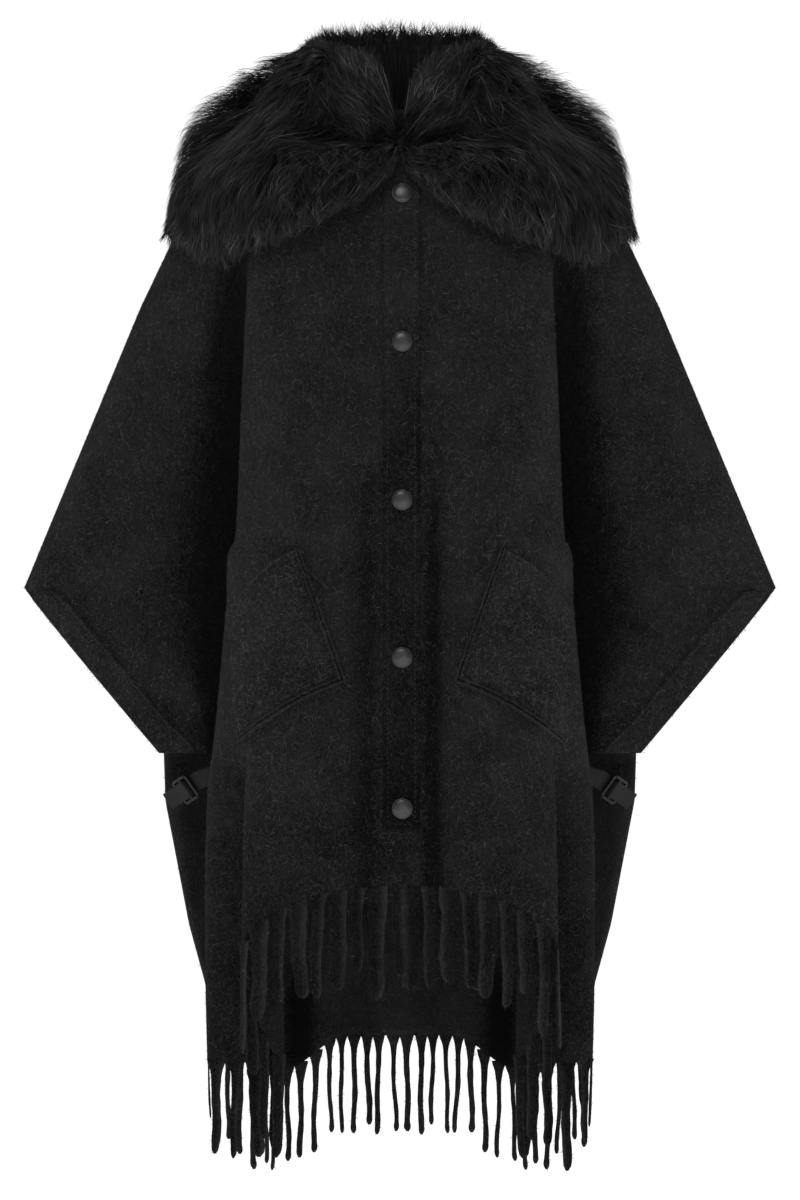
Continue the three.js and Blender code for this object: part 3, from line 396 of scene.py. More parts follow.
# The back: one wide piece of the same wool with the back halves of both wings, joined to the fronts
# by a seam along the shoulder and arm down to the wing's tip. Soft folds grow towards its hem.
BACK_SECTIONS = np.array([
    [0, 72, 22, 69, 40, 58, 53, 42, 59, 27, 63, 13, 0],
    [30, 92, 38, 90, 76, 81, 104, 63, 120, 45, 131, 24, 0],
    [60, 104, 46, 104, 92, 98, 130, 78, 154, 54, 172, 32, 0],
    [105, 114, 52, 116, 102, 113, 144, 92, 172, 62, 199, 38, 0],
    [170, 122, 56, 125, 110, 121, 154, 95, 190, 58, 227, 36, 0],
    [260, 126, 58, 130, 116, 126, 162, 92, 206, 52, 262, 34, 0],
    [340, 127, 60, 131, 120, 127, 168, 86, 220, 47, 294, 32, 0],
    [435, 127, 61, 131, 122, 126, 174, 79, 236, 42, 330, 22, 0],
    [447, 127, 61, 131, 122, 126, 174, 78, 234, 42, 313, 27, 12],
    [470, 127, 61, 131, 122, 125, 174, 77, 230, 42, 293, 31, 22],
    [513, 126, 61, 130, 122, 124, 172, 77, 216, 45, 257, 36, 30],
    [560, 125, 60, 129, 121, 122, 166, 81, 190, 60, 218, 44, 34],
    [591, 124, 60, 128, 118, 120, 154, 89, 171, 76, 192, 61, 37],
    [640, 123, 60, 127, 116, 119, 153, 91, 172, 80, 194, 66, 46],
    [720, 122, 60, 126, 114, 118, 154, 91, 178, 77, 196, 66, 55],
    [830, 121, 58, 125, 108, 117, 142, 96, 162, 84, 177, 74, 64],
    [910, 120, 57, 124, 106, 116, 140, 96, 158, 85, 173, 75, 66],
], float)
BACK_HEM = [[0, 874], [1, 876], [2, 905], [3, 908], [4, 886], [5, 880], [6, 878]]
BACK_CREASES = {
    1: [(40, 160, 54, 560, 16, -2.4), (84, 220, 100, 640, 15, -3.0), (128, 130, 168, 420, 20, -2.2),
        (24, 520, 34, 840, 13, 1.8), (150, 300, 148, 600, 12, -2.4), (98, 560, 84, 980, 14, 2.2)],
    -1: [(48, 190, 60, 600, 17, -2.0), (92, 180, 104, 560, 14, -3.2), (134, 150, 176, 460, 19, -2.4),
         (30, 480, 26, 800, 14, 1.6), (148, 340, 152, 640, 13, -2.0), (90, 600, 78, 980, 13, 2.4)],
}
FOLD_HEIGHT, FOLD_PITCH = 9, 84


def back_panel(side):
    """The back's half, with its upright folds: their height times a cosine of x over their pitch,
    growing down the back, and fading at the middle and towards the side."""
    def fold(x, depth):
        across = step_up(x, 0, 30) * (1 - step_up(x, 108, 138))
        wave = -FOLD_HEIGHT * step_up(depth, 200, 860) * across * np.cos(2 * np.pi * x / FOLD_PITCH)
        here, there = (troughs(x, depth, BACK_CREASES[half]) for half in (side, -side))
        return wave + (here + there) / 2 + (here - there) / 2 * step_up(x, 0, 30)
    return Panel(BACK_SECTIONS, 6, 1, 0, SEAM_GAP / 2, fold)


back_places = np.linspace(0, 6, 6 * 10 + 1)
hem = smooth(BACK_HEM)(back_places)
lower = CUFF_END_DEPTH + (hem - CUFF_END_DEPTH) * np.linspace(0, 1, 43)[1:, None]
back_depths = np.concatenate([np.repeat(neck_to_cuff[:, None], len(back_places), 1), lower])
backs = {tag: back_panel(side) for tag, side in SIDES.items()}


def across_back(distance):
    """Both halves of the back as one grid, from the wearer's right to the left."""
    halves = [backs[tag].lifted(back_places, back_depths, np.full(back_depths.shape, distance))
              for tag in SIDES]
    return np.concatenate([(halves[0] * [-1, 1, 1])[:, :0:-1], halves[1]], 1)


back_outer = across_back(0.0)
back_inner = across_back(-WALL)
points, faces, number = shell(back_outer, back_inner)
# The fold mark on the back's inner face is painted light and shade: painted shade beside the fronts' tongues
# low down, and painted highlight along both side edges.
beside_front = bell(abs(back_inner[..., 0]), 98, 14) * step_up(-back_inner[..., 2], 780, 850)
from_side = 6 - abs(np.linspace(-6, 6, back_inner.shape[1]))
inside = beside_front - bell(from_side, 0, 0.3) * step_up(-back_inner[..., 2], 560, 620)
deep = np.concatenate([0 * inside.ravel(), inside.ravel()])
back_cloth = make_piece("cloth_back", points, faces[:, ::-1], wool, "wool", ["back_panel"],
                        marks={"fold": deep})
back_squares = np.prod(np.array(back_inner.shape[:2]) - 1)
brushed.append(("nap_back", points, faces[:back_squares, ::-1], 23000, 1))

# The placket: a doubled strip of the wool sewn over both front edges with a row of stitches near
# each side. It is left open at the foot, and five snaps go through it.
PLACKET_LEFT, PLACKET_RIGHT, PLACKET_TOP, PLACKET_END = -15.6, 18.3, 18, 656
PLACKET_WALL = 3.0
STITCH_INSET = 4.6
LAID_GAP = 0.5


def placket_back(depth):
    """How far forward the placket's back lies: just clear of the furthest point of both fronts."""
    x = np.array([PLACKET_LEFT, -9, 0, 9, PLACKET_RIGHT])
    found = []
    for reach in x:
        panel = fronts["r" if reach < FRONT_EDGE_X else "l"]
        reach = -reach if reach < FRONT_EDGE_X else reach
        place = panel.place_of(np.full(np.shape(depth), reach), depth, 0, 4)
        found.append(panel.at(place, depth)[..., 1])
    return np.min(found, axis=0) - LAID_GAP


def ropes(rings):
    """Faces of many tubes at once, from rings (tube, level, around): sides and both round ends."""
    count, levels, around = rings.shape[:3]
    number = np.arange(count * levels * around).reshape(count, levels, around)
    turned = np.roll(number, -1, 2)
    sides = np.stack([number[:, :-1], turned[:, :-1], turned[:, 1:], number[:, 1:]], -1)
    ends = rings[:, [0, -1]].mean(2)
    top = count * levels * around + 2 * np.arange(count)[:, None]
    caps = [np.stack([turned[:, 0], number[:, 0], np.broadcast_to(top, (count, around))], -1),
            np.stack([number[:, -1], turned[:, -1], np.broadcast_to(top + 1, (count, around))], -1)]
    points = np.concatenate([rings.reshape(-1, 3), ends.reshape(-1, 3)])
    return points, [sides.reshape(-1, 4), np.concatenate(caps).reshape(-1, 3)]


def stitches(path, out, length=3.4, gap=1.1, radius=0.34):
    """Thread along a path (point, xyz): each stitch is a short five-sided tube that rises out of the
    cloth and dips back, at equal steps of the path's length."""
    reach = np.concatenate([[0], np.cumsum(np.linalg.norm(np.diff(path, axis=0), axis=1))])
    starts = np.arange(0.6, reach[-1] - length, length + gap)
    levels = np.array([0, 0.2, 0.5, 0.8, 1.0])
    wanted = starts[:, None] + levels * length
    centre, up = (np.stack([np.interp(wanted, reach, values[:, k]) for k in range(3)], -1)
                  for values in (path, out))
    wide = np.cross(unit(np.gradient(centre, axis=1)), up)
    centre = centre + up * (np.sin(np.pi * levels) * 0.42 - 0.12)[:, None]
    angle = np.arange(5) * 2 * np.pi / 5
    size = radius * np.array([0.55, 0.9, 1, 0.9, 0.55])
    rings = (centre[:, :, None] + size[:, None, None] * (wide[:, :, None] * np.cos(angle)[:, None]
             + up[:, :, None] * np.sin(angle)[:, None]))
    return ropes(rings)


def gathered(parts):
    """Several made pieces as one: the points one after another, the faces moved on to match."""
    points, faces, start = [], [], 0
    for part_points, part_faces in parts:
        part_faces = [part_faces] if isinstance(part_faces, np.ndarray) else part_faces
        points.append(part_points)
        faces += [face + start for face in part_faces]
        start += len(part_points)
    return np.concatenate(points), faces


PLACKET_ROWS = 170
placket_depths = np.linspace(PLACKET_TOP, PLACKET_END, PLACKET_ROWS)
placket_x = np.concatenate([[0, 0.5, 1.4], np.linspace(2.4, 31.5, 14), [32.5, 33.4, 33.9]]) + PLACKET_LEFT
rest = placket_back(placket_depths)
x, depth = np.meshgrid(placket_x, placket_depths)
from_edge = np.minimum(x - PLACKET_LEFT, PLACKET_RIGHT - x)
from_end = np.minimum(from_edge, PLACKET_END - depth)
puff = PLACKET_WALL * (0.42 + 0.58 * np.sqrt(np.clip(from_end / 1.8, 0, 1)))
puff = puff - 0.3 * bell(from_end, STITCH_INSET, 1.3)
puff = puff + 0.28 * np.sin(depth / 23 + 0.6 * np.sin(x / 9)) * step_up(from_edge, 0, 9)
placket_front = np.stack([x, rest[:, None] - puff, -depth], -1)
placket_under = np.stack([x, np.broadcast_to(rest[:, None], x.shape), -depth], -1)
points, faces, number = shell(placket_front, placket_under)
# Painted shade on the placket: darker below its top, and darker again towards its foot.
shaded = (0.35 * step_up(depth, 150, 330) + 0.3 * step_up(depth, 560, 630)).ravel()[number]
placket = make_piece("cloth_placket", points, faces, wool, "wool", ["placket"], marks={"fold": shaded})
brushed.append(("nap_placket", points, faces[:(PLACKET_ROWS - 1) * (len(placket_x) - 1)],
                1700, 1, shaded))

thread, thread_skin, place = new_finish("black_thread")
ply = place.node("TexNoise", {}, {"Vector": place, "Scale": 1500})
place.fill(thread_skin, {
    "Base Color": ply.between(0.3, 0.7).blend((0.006, 0.006, 0.006), (0.03, 0.03, 0.031)),
    "Roughness": 0.55, "Specular IOR Level": 0.3,
    "Normal": place.node("Bump", {}, {"Strength": 0.5, "Distance": 0.0003, "Height": ply})})

inset = PLACKET_LEFT + STITCH_INSET, PLACKET_RIGHT - STITCH_INSET
y_at = rest - PLACKET_WALL + 0.5
lines = [np.stack([np.full(PLACKET_ROWS, line), y_at, -placket_depths], 1)[:-2] for line in inset]
foot = np.linspace(*inset, 24)
lines.append(np.stack([foot, np.full(24, y_at[-2]), np.full(24, STITCH_INSET - PLACKET_END)], 1))
rows = [stitches(line, np.tile([0.0, -1.0, 0.0], (len(line), 1))) for line in lines]
make_piece("stitching_placket", *gathered(rows), thread, "wool")

# Snap caps: domed dark metal, pressed through the placket and held by a post behind it.
SNAP_RADIUS = 9.5
SNAP_X = 2
SNAP_DEPTHS = [72, 210, 355, 499, 637]


def turned(profile, around=48):
    """A closed turned body: a profile of (radius, height) rows swept round, as one tube."""
    angle = np.arange(around) * 2 * np.pi / around
    radius, height = np.array(profile, float).T[:, :, None]
    return np.stack(np.broadcast_arrays(radius * np.cos(angle), radius * np.sin(angle), height), -1)[None]


def faced(rings, at, facing):
    """Turns rings that were made round +Z to face another way, and moves them to a point."""
    facing = unit(facing)
    across = unit(np.cross([0.0, 0.0, 1.0], facing))
    return rings @ np.stack([across, np.cross(facing, across), facing]) + at


snap_metal, snap_skin, place = new_finish("snap_enamel")
worn = place.node("TexNoise", {}, {"Vector": place, "Scale": 300, "Detail": 4})
place.fill(snap_skin, {
    "Base Color": worn.between(0.3, 0.75).blend((0.028, 0.028, 0.029), (0.048, 0.048, 0.05)),
    "Metallic": 0.45, "Roughness": 0.3 + 0.14 * worn, "Coat Weight": 0.02,
    "Normal": place.node("Bump", {}, {"Strength": 0.06, "Distance": 0.0004, "Height": worn})})

cap = [(9.2, 0), (9.5, 0.5), (9.5, 1.1), (9.25, 1.6), (8.9, 1.72), (8.7, 1.68)]
cap += [(8.5 * np.cos(t), 1.8 + 2.5 * np.sin(t)) for t in np.linspace(0, np.pi / 2, 12)[:-1]] + [(0.3, 4.3)]
for number, depth in enumerate(SNAP_DEPTHS, 1):
    before, here, after = placket_back(np.array([depth - SNAP_RADIUS, depth, depth + SNAP_RADIUS]))
    facing = np.array([0.0, -2 * SNAP_RADIUS, before - after])
    at = np.array([SNAP_X, here - PLACKET_WALL - 0.15, -depth])
    make_piece(f"snap_cap_{number}", *ropes(faced(turned(cap), at, facing)), snap_metal, "snap_metal",
               [f"snap_{number}"])

# Patch pockets: a slanted patch of the wool on each front, sewn down along its inner side and its
# foot with a doubled welt, and open along the slanted mouth that runs up towards the middle.
POCKET = {"inner_top": (91.8, 397), "inner_end": (48.6, 521), "outer_top": (159, 459),
          "outer_end": (146, 578), "mouth_sag": 9, "end_sag": 7}
STITCH_ROWS, HEM_ROW = (3.8, 7.8), 6.5


def close_to_ends(length, fine, coarse, reach):
    """Shares from 0 to 1 along a length: fine steps within reach of both ends, coarse between."""
    ends = np.arange(0, reach, fine)
    middle = np.linspace(reach, length - reach, max(int((length - 2 * reach) / coarse), 2))
    return np.concatenate([ends, middle, (length - ends)[::-1]]) / length


POCKET_WIDTH, POCKET_LENGTH = 100, 125
pocket_across = close_to_ends(POCKET_WIDTH, 0.75, 4.2, 10)
pocket_down = close_to_ends(POCKET_LENGTH, 0.75, 4.2, 10)
s, t = np.meshgrid(pocket_across, pocket_down)
bow = np.sin(np.pi * s)
from_inner, from_outer = POCKET_WIDTH * s, POCKET_WIDTH * (1 - s)
from_mouth, from_foot = POCKET_LENGTH * t, POCKET_LENGTH * (1 - t)
sewn = np.minimum(from_inner, from_foot)
free = np.minimum(np.minimum(from_mouth, from_outer), sewn)
top, end = (np.stack([POCKET[f"inner_{row}"][k] * (1 - s) + POCKET[f"outer_{row}"][k] * s
                      for k in range(2)]) for row in ("top", "end"))
top[1] -= POCKET["mouth_sag"] * bow
end[1] -= POCKET["end_sag"] * bow
x, depth = top * (1 - t) + end * t
gap = 0.6 + 2.2 * step_up(s, 0.45, 0.9) * step_up(t, 0.4, 0.8) + 1.6 * (1 - step_up(from_mouth, 0, 14)) * bow
# The welt is two ridges along the sewn sides, each with a groove of stitches within it.
welt = 2.2 * bell(sewn, 1.9, 1.1) + 1.7 * bell(sewn, 5.7, 1.2)
groove = bell(sewn, STITCH_ROWS[0], 0.6) + 0.8 * bell(sewn, STITCH_ROWS[1], 0.9)
hemmed = 0.9 * bell(from_mouth, HEM_ROW, 1.1) * step_up(sewn, 0, 6)
bulge = 1.6 * bow * np.sin(np.pi * t) + 0.5 * np.sin(9 * s + 4 * t)
over = gap + 2.6 * (0.3 + 0.7 * np.sqrt(np.clip(free / 1.6, 0, 1))) + welt * step_up(from_mouth, 0, 4)
over = over - groove - hemmed + bulge * step_up(sewn, 4, 26)
# Painted light and shade on the pocket: painted shade in the grooves of both stitch rows, painted highlight
# along the welt's two ridges and the mouth's edge.
shade = 0.8 * bell(sewn, STITCH_ROWS[0], 0.7) + 0.5 * bell(sewn, STITCH_ROWS[1], 1.0)
shade = shade - 0.6 * bell(sewn, 1.9, 0.9) - 0.5 * bell(sewn, 5.7, 1.0)
shade = shade - 0.35 * bell(from_mouth, 2, 1.8) * step_up(sewn, 0, 6)


def on_pocket(outer, across, down):
    """A line of thread on the pocket's face, and the way it faces, for distances from the inner side
    and from the mouth: the face's corners weighed by nearness."""
    across, down = np.broadcast_arrays(across, down)
    where = np.stack([np.interp(across / POCKET_WIDTH, pocket_across, np.arange(len(pocket_across))),
                      np.interp(down / POCKET_LENGTH, pocket_down, np.arange(len(pocket_down)))])
    low = np.floor(where - 1e-6).astype(int).clip(0)
    fx, fy = where - low
    corner = [outer[low[1] + b, low[0] + a] for a in (0, 1) for b in (0, 1)]
    weight = [(1 - fx) * (1 - fy), (1 - fx) * fy, fx * (1 - fy), fx * fy]
    spot = sum(c * w[:, None] for c, w in zip(corner, weight))
    return spot, -unit(np.cross(corner[2] - corner[0], corner[0] - corner[1]))


seam_depth = np.linspace(342, 396, 30)
seam_x = np.interp(seam_depth, [342, 372, 396], [101, 96.5, 92])
for tag, side in SIDES.items():
    panel = fronts[tag]
    place = panel.place_of(x, depth, 0, 4)
    outer, inner = panel.lifted(place, depth, over), panel.lifted(place, depth, gap)
    points, faces, number = shell(outer, inner)
    pocket = make_piece(f"cloth_pocket_{tag}", points, faces, wool, "wool", [f"pocket_{tag}"], side,
                        {"fold": shade.ravel()[number]})
    brushed.append((f"nap_pocket_{tag}", points, faces[:(len(pocket_down) - 1) * (len(pocket_across) - 1)],
                    2900, side))
    lines = [on_pocket(outer, np.linspace(9, POCKET_WIDTH - 4, 60), HEM_ROW)]
    for inset in STITCH_ROWS:
        foot = POCKET_LENGTH - inset
        lines += [on_pocket(outer, inset, np.linspace(3, foot, 60)),
                  on_pocket(outer, np.linspace(inset, POCKET_WIDTH - 3, 60), foot)]
    seam_place = panel.place_of(seam_x, seam_depth, 0, 4)
    lines.append((panel.lifted(seam_place, seam_depth, np.full(len(seam_depth), 0.1)),
                  panel.square(seam_place, seam_depth)))
    make_piece(f"stitching_pocket_{tag}", *gathered([stitches(*line) for line in lines]), thread, "wool",
               side=side)

# The turned bands of the wing ends: smoother cloth folded over the slanted edge of both layers and
# sewn along its inner side.
facing_cloth = wool_finish("smooth_facing", (0.004, 0.004, 0.0043), (0.03, 0.03, 0.0314), 0.5)
CUFF_WIDTH, CUFF_ROWS, CUFF_STITCHES = 30, 52, 3.4
band_depths = np.linspace(438, CUFF_END_DEPTH - 0.5, CUFF_ROWS)[:, None]
share = close_to_ends(CUFF_WIDTH, 0.8, 2.2, 4)
from_seam = CUFF_WIDTH * share
seam_column = int(np.argmin(abs(from_seam - CUFF_STITCHES)))
rise = 0.55 + 1.5 * np.sqrt(np.clip(np.minimum(from_seam, CUFF_WIDTH - from_seam) / 1.4, 0.02, 1))
rise = rise - 0.35 * bell(from_seam, CUFF_STITCHES, 0.9)
rise = rise + 0.22 * np.sin(band_depths / 6.5) * np.sin(np.pi * share)
for tag, side in SIDES.items():
    for layer, panel, turn in (("front", fronts[tag], 1), ("back", backs[tag], -1)):
        band_places = panel.spans - 1 + share
        outer = panel.lifted(band_places, band_depths, rise)
        points, faces, number = shell(outer, panel.lifted(band_places, band_depths, np.full(rise.shape, 0.4)))
        brushed.append((f"nap_cuff_{layer}_{tag}", points, faces[:(CUFF_ROWS - 1) * (len(share) - 1), ::turn],
                        450, side))
        band = make_piece(f"cloth_cuff_{layer}_{tag}", points, faces[:, ::turn], facing_cloth, "facing",
                          [f"cuff_band_{layer}_{tag}"], side)
        out = panel.square(np.full(CUFF_ROWS, band_places[seam_column]), band_depths[:, 0])
        make_piece(f"stitching_cuff_{layer}_{tag}", *stitches(outer[:, seam_column], out), thread,
                   "facing", side=side)

# The neck band: a low upright strip of the wool round the neckline, inside the collar, closed by
# one small ring snap.
BAND_HEIGHT = 15


def neck_line(around):
    """The neckline's point and its outward direction, level. Around runs from 0 at the middle of
    the front over 1 at the arm seam to 2 at the middle of the back."""
    front_place, back_place = np.clip(around, 0, 1) * 8, (2 - np.clip(around, 1, 2)) * 6
    drop = NECK_DROP * (1 - front_place / 8)
    ahead = (around <= 1)[:, None]
    at = np.where(ahead, fronts["l"].at(front_place, drop), backs["l"].at(back_place, 0 * drop))
    away = np.where(ahead, fronts["l"].square(front_place, drop), backs["l"].square(back_place, 0 * drop))
    away[:, 2] = 0
    return at, unit(away)


around = np.linspace(0, 2, 90)
at, away = neck_line(around)
both_at, both_away = (np.concatenate([half * [-1, 1, 1], half[-2::-1]]) for half in (at, away))
both_at[0, 0] = FRONT_EDGE_X - SEAM_GAP / 2
loop = [(0, 0.3), (-0.1, 5), (-0.1, 10), (-0.4, 13.6), (-1.5, 15), (-2.6, 13.6), (-2.9, 10), (-2.9, 5),
        (-2.8, 0.3)]
rings = np.stack([both_at + both_away * out + [0, 0, 1] * (up - both_at[:, 2:] * 0.4 * up / BAND_HEIGHT)
                  for out, up in loop], 1)[None]
neck_band = make_piece("cloth_neck_band", *ropes(rings[:, :, ::-1]), wool, "wool", ["neck_band"])

at, away = neck_line(np.array([0.35 / 8]))
ring = [(2.6, 0.1), (4, 0.1), (4.2, 0.8), (4, 1.5), (3.5, 1.8), (3, 1.5), (2.6, 0.9), (1.4, 0.7), (0.2, 0.7)]
way = away[0] * [-1, 1, 0]
spot = at[0] * [-1, 1, 1] + [0, 0, 6.5] + way * 0.3
make_piece("snap_neck_ring", *ropes(faced(turned(ring, 32), spot, way)), snap_metal, "snap_metal",
           ["neck_snap"])

# The collar: long black fur on a pelt, sewn round the neckline. It stands up round the neck with a
# dark crease at its foot, and falls over the shoulders, where its hair fans out from the neck.
COLLAR_START = [[0, 15], [0.06, 10], [0.14, 3], [2, 3]]
COLLAR_END = [[0, 58], [0.12, 98], [0.25, 122], [0.5, 138], [0.75, 134], [1, 108], [1.3, 132],
              [1.6, 150], [2, 152]]
COLLAR_CREST = [[0, 0], [0.03, 24], [0.07, 42], [0.14, 53], [0.25, 61], [0.45, 69], [0.7, 75], [1, 80],
                [1.5, 97], [2, 106]]
COLLAR_HEIGHT = [[0, 28], [0.12, 42], [0.3, 46], [0.6, 42], [0.85, 32], [1, 32], [1.15, 34],
                 [1.4, 46], [2, 50]]
# Share of the way down, thickness as a share of its height, and thickness over the arm seam
COLLAR_FALL = [[1.04, 0.26, 4], [0.86, 0.62, 9], [0.64, 0.9, 28], [0.42, 1.02, 66], [0.2, 0.98, 72]]
# Distance out from the neckline, and share of the way up to the crest in front and behind
COLLAR_STAND = [[32, 0.06, 0.5], [35, 0.62, 0.92], [18, 1, 1], [9, 0.86, 0.86], [3, 0.4, 0.4],
                [1, 0.05, 0.05]]
CREASE = 5


def collar_rings(around, full):
    """The collar's outer form at each place round the neck, from its lower edge over the crease and
    the crest to the inside. Full is 1 for the tips of the hair, and less for the pelt below."""
    front_place, back_place = np.clip(around, 0, 1) * 8, (2 - np.clip(around, 1, 2)) * 6
    ahead = (around <= 1)[:, None]
    at, away = neck_line(around)
    start = smooth(COLLAR_START)(around) - at[:, 2]
    end, height = smooth(COLLAR_END)(around), smooth(COLLAR_HEIGHT)(around)
    over_arm = 1 - step_up(abs(around - 1), 0, 0.16)
    plain = step_up(around, 0.26, 0.5)
    rings = []
    for share, thick, arm in COLLAR_FALL:
        share = share + 0.25 * (1 - share) * (1 - plain)
        depth = start + (end - start) * share * (0.82 + 0.18 * full)
        rise = 6.5 + full * (thick * height * (1 - over_arm) + arm * over_arm)
        rings.append(np.where(ahead, fronts["l"].lifted(front_place, depth, rise),
                              backs["l"].lifted(back_place, depth, rise)))
    crest = smooth(COLLAR_CREST)(around)
    foot = at + [0, 0, 4]
    stand = []
    for out, front_share, back_share in COLLAR_STAND:
        out = 1 + (out - 1) * (full if out > 6 else 1)
        share = (front_share * (1 - plain) + back_share * plain) * (0.8 + 0.2 * full)
        stand.append(foot + away * out + [0, 0, 1] * ((crest - foot[:, 2]) * share)[:, None])
    plain = plain[:, None]
    slope = stand[1] - rings[-1]
    swell = (away + [0, 0, 1]) * 5 * full
    dented = foot + away * (8 + 8 * full) - [0, 0, 25]
    rings.append(dented * (1 - plain) + (rings[-1] + slope / 3 + swell) * plain)
    stand[0] = stand[0] * (1 - plain) + (rings[-2] + slope * 2 / 3 + swell) * plain
    return np.stack(rings + stand, 1)


def round_curve(rings, count):
    """Catmull-Rom through the ring's points, at equal steps of their number."""
    place = np.linspace(0, rings.shape[1] - 1, count)
    padded = np.concatenate([2 * rings[:, :1] - rings[:, 1:2], rings, 2 * rings[:, -1:] - rings[:, -2:-1]], 1)
    k = np.minimum(place.astype(int), rings.shape[1] - 2)
    return between_points(*(padded[:, k + n] for n in range(4)), (place - k)[None, :, None])


ROUND_STEPS, RING_STEPS = 161, 67
rounds = np.linspace(0, 2, ROUND_STEPS)
hair_form, pelt_form, skin_form = (round_curve(collar_rings(rounds, full), RING_STEPS)
                                   for full in (1.0, 0.52, 0.02))

pelt_finish, pelt_skin, place = new_finish("fur_pelt")
round_mark = place.node("Attribute", {"attribute_name": "round"}, {}, 2)
down_mark = place.node("Attribute", {"attribute_name": "down"}, {}, 2)
combed = place.node("CombineXYZ", {}, {"X": round_mark * 0.55, "Y": down_mark * 0.22})
down = place.node("TexNoise", {}, {"Vector": combed, "Scale": 1, "Detail": 3, "Distortion": 0.4})
place.fill(pelt_skin, {
    "Base Color": down.between(0.42, 0.7).blend((0.0022, 0.0022, 0.0023), (0.02, 0.02, 0.0206)),
    "Roughness": 0.9, "Specular IOR Level": 0.1,
    "Normal": place.node("Bump", {}, {"Strength": 0.9, "Distance": 0.003, "Height": down})})
half = np.concatenate([pelt_form[:, ::3], skin_form[:, 54::-6]], 1)
pelt_loop = np.concatenate([half * [-1, 1, 1], half[-2::-1]])[None]
points, faces = ropes(pelt_loop[:, :, ::-1])
turn, step = np.indices(pelt_loop.shape[1:3])
make_piece("fur_pelt", points, faces, pelt_finish, "fur", ["fur_collar"],
           marks={"round": np.append(turn, [0, 0]), "down": np.append(step, [0, 0])})

rng = np.random.default_rng(11)


def pick(points, squares, count):
    """Random spots on four-cornered faces, as many on each as its area asks for: the face's number
    and how far across and down it each spot lies."""
    a, b, c, d = (points[squares[:, k]] for k in range(4))
    area = np.linalg.norm(np.cross(c - a, d - b), axis=1)
    square = np.searchsorted(np.cumsum(area / area.sum()), rng.random(count)).clip(0, len(area) - 1)
    return square, rng.random(count), rng.random(count)


def on_grid(grid, row, column):
    """A grid's points between its rows and columns: each corner weighed by its nearness."""
    row, column = np.clip(row, 0, grid.shape[0] - 1.001), np.clip(column, 0, grid.shape[1] - 1.001)
    r, c = row.astype(int), column.astype(int)
    u, v = (row - r)[..., None], (column - c)[..., None]
    return ((1 - u) * ((1 - v) * grid[r, c] + v * grid[r, c + 1])
            + u * ((1 - v) * grid[r + 1, c] + v * grid[r + 1, c + 1]))


def hairs(path, wide, width):
    """Flat hairs that end in a point, from paths (hair, level, xyz), the way each is wide, and the
    width at each level but the last."""
    count, levels = path.shape[:2]
    half = wide[:, :-1] * np.asarray(width)[..., None] / 2
    points = np.concatenate([path[:, :-1] - half, path[:, :-1] + half, path[:, -1:]], 1)
    first = (np.arange(count) * (2 * levels - 1))[:, None]
    k = np.arange(levels - 2)
    quads = np.stack([first + k, first + levels - 1 + k, first + levels + k, first + k + 1], -1)
    tips = np.stack([first + levels - 2, first + 2 * levels - 3, first + 2 * levels - 2], -1)
    return points.reshape(-1, 3), [quads.reshape(-1, 4), tips.reshape(-1, 3)]


cell = np.arange((ROUND_STEPS - 1) * RING_STEPS).reshape(-1, RING_STEPS)[:, :-1].ravel()
hair_squares = np.stack([cell, cell + 1, cell + RING_STEPS + 1, cell + RING_STEPS], 1)
fur_finish, fur_skin, place = new_finish("long_fur")
up_hair = place.node("Attribute", {"attribute_name": "along"}, {}, 2)
own = place.node("Attribute", {"attribute_name": "own"}, {}, 2)
parted = place.node("TexNoise", {}, {"Vector": place, "Scale": 26, "Detail": 2, "Distortion": 0.8})
light = own.between(0.6, 1.0) * (0.25 + 0.75 * up_hair)
shine = (0.14 * own + 0.1 * up_hair + 0.8 * light) * (0.3 + parted.between(0.35, 0.68))
place.fill(fur_skin, {
    "Base Color": shine.blend((0.0026, 0.0026, 0.0027), (0.135, 0.135, 0.138)),
    "Roughness": 0.66 - 0.16 * own, "Specular IOR Level": 0.16})


neck_away = np.repeat(neck_line(rounds)[1][:, None], RING_STEPS, 1)
# Steps of the ring where hair turns inward, stands up, and is thickest along the crest
INNER_HAIR, UPPER_HAIR, CREST_HAIR = (49, 56), (42, 48), (45, 49.5)
LOCKS, HAIRS_IN_LOCK = 4300, 9


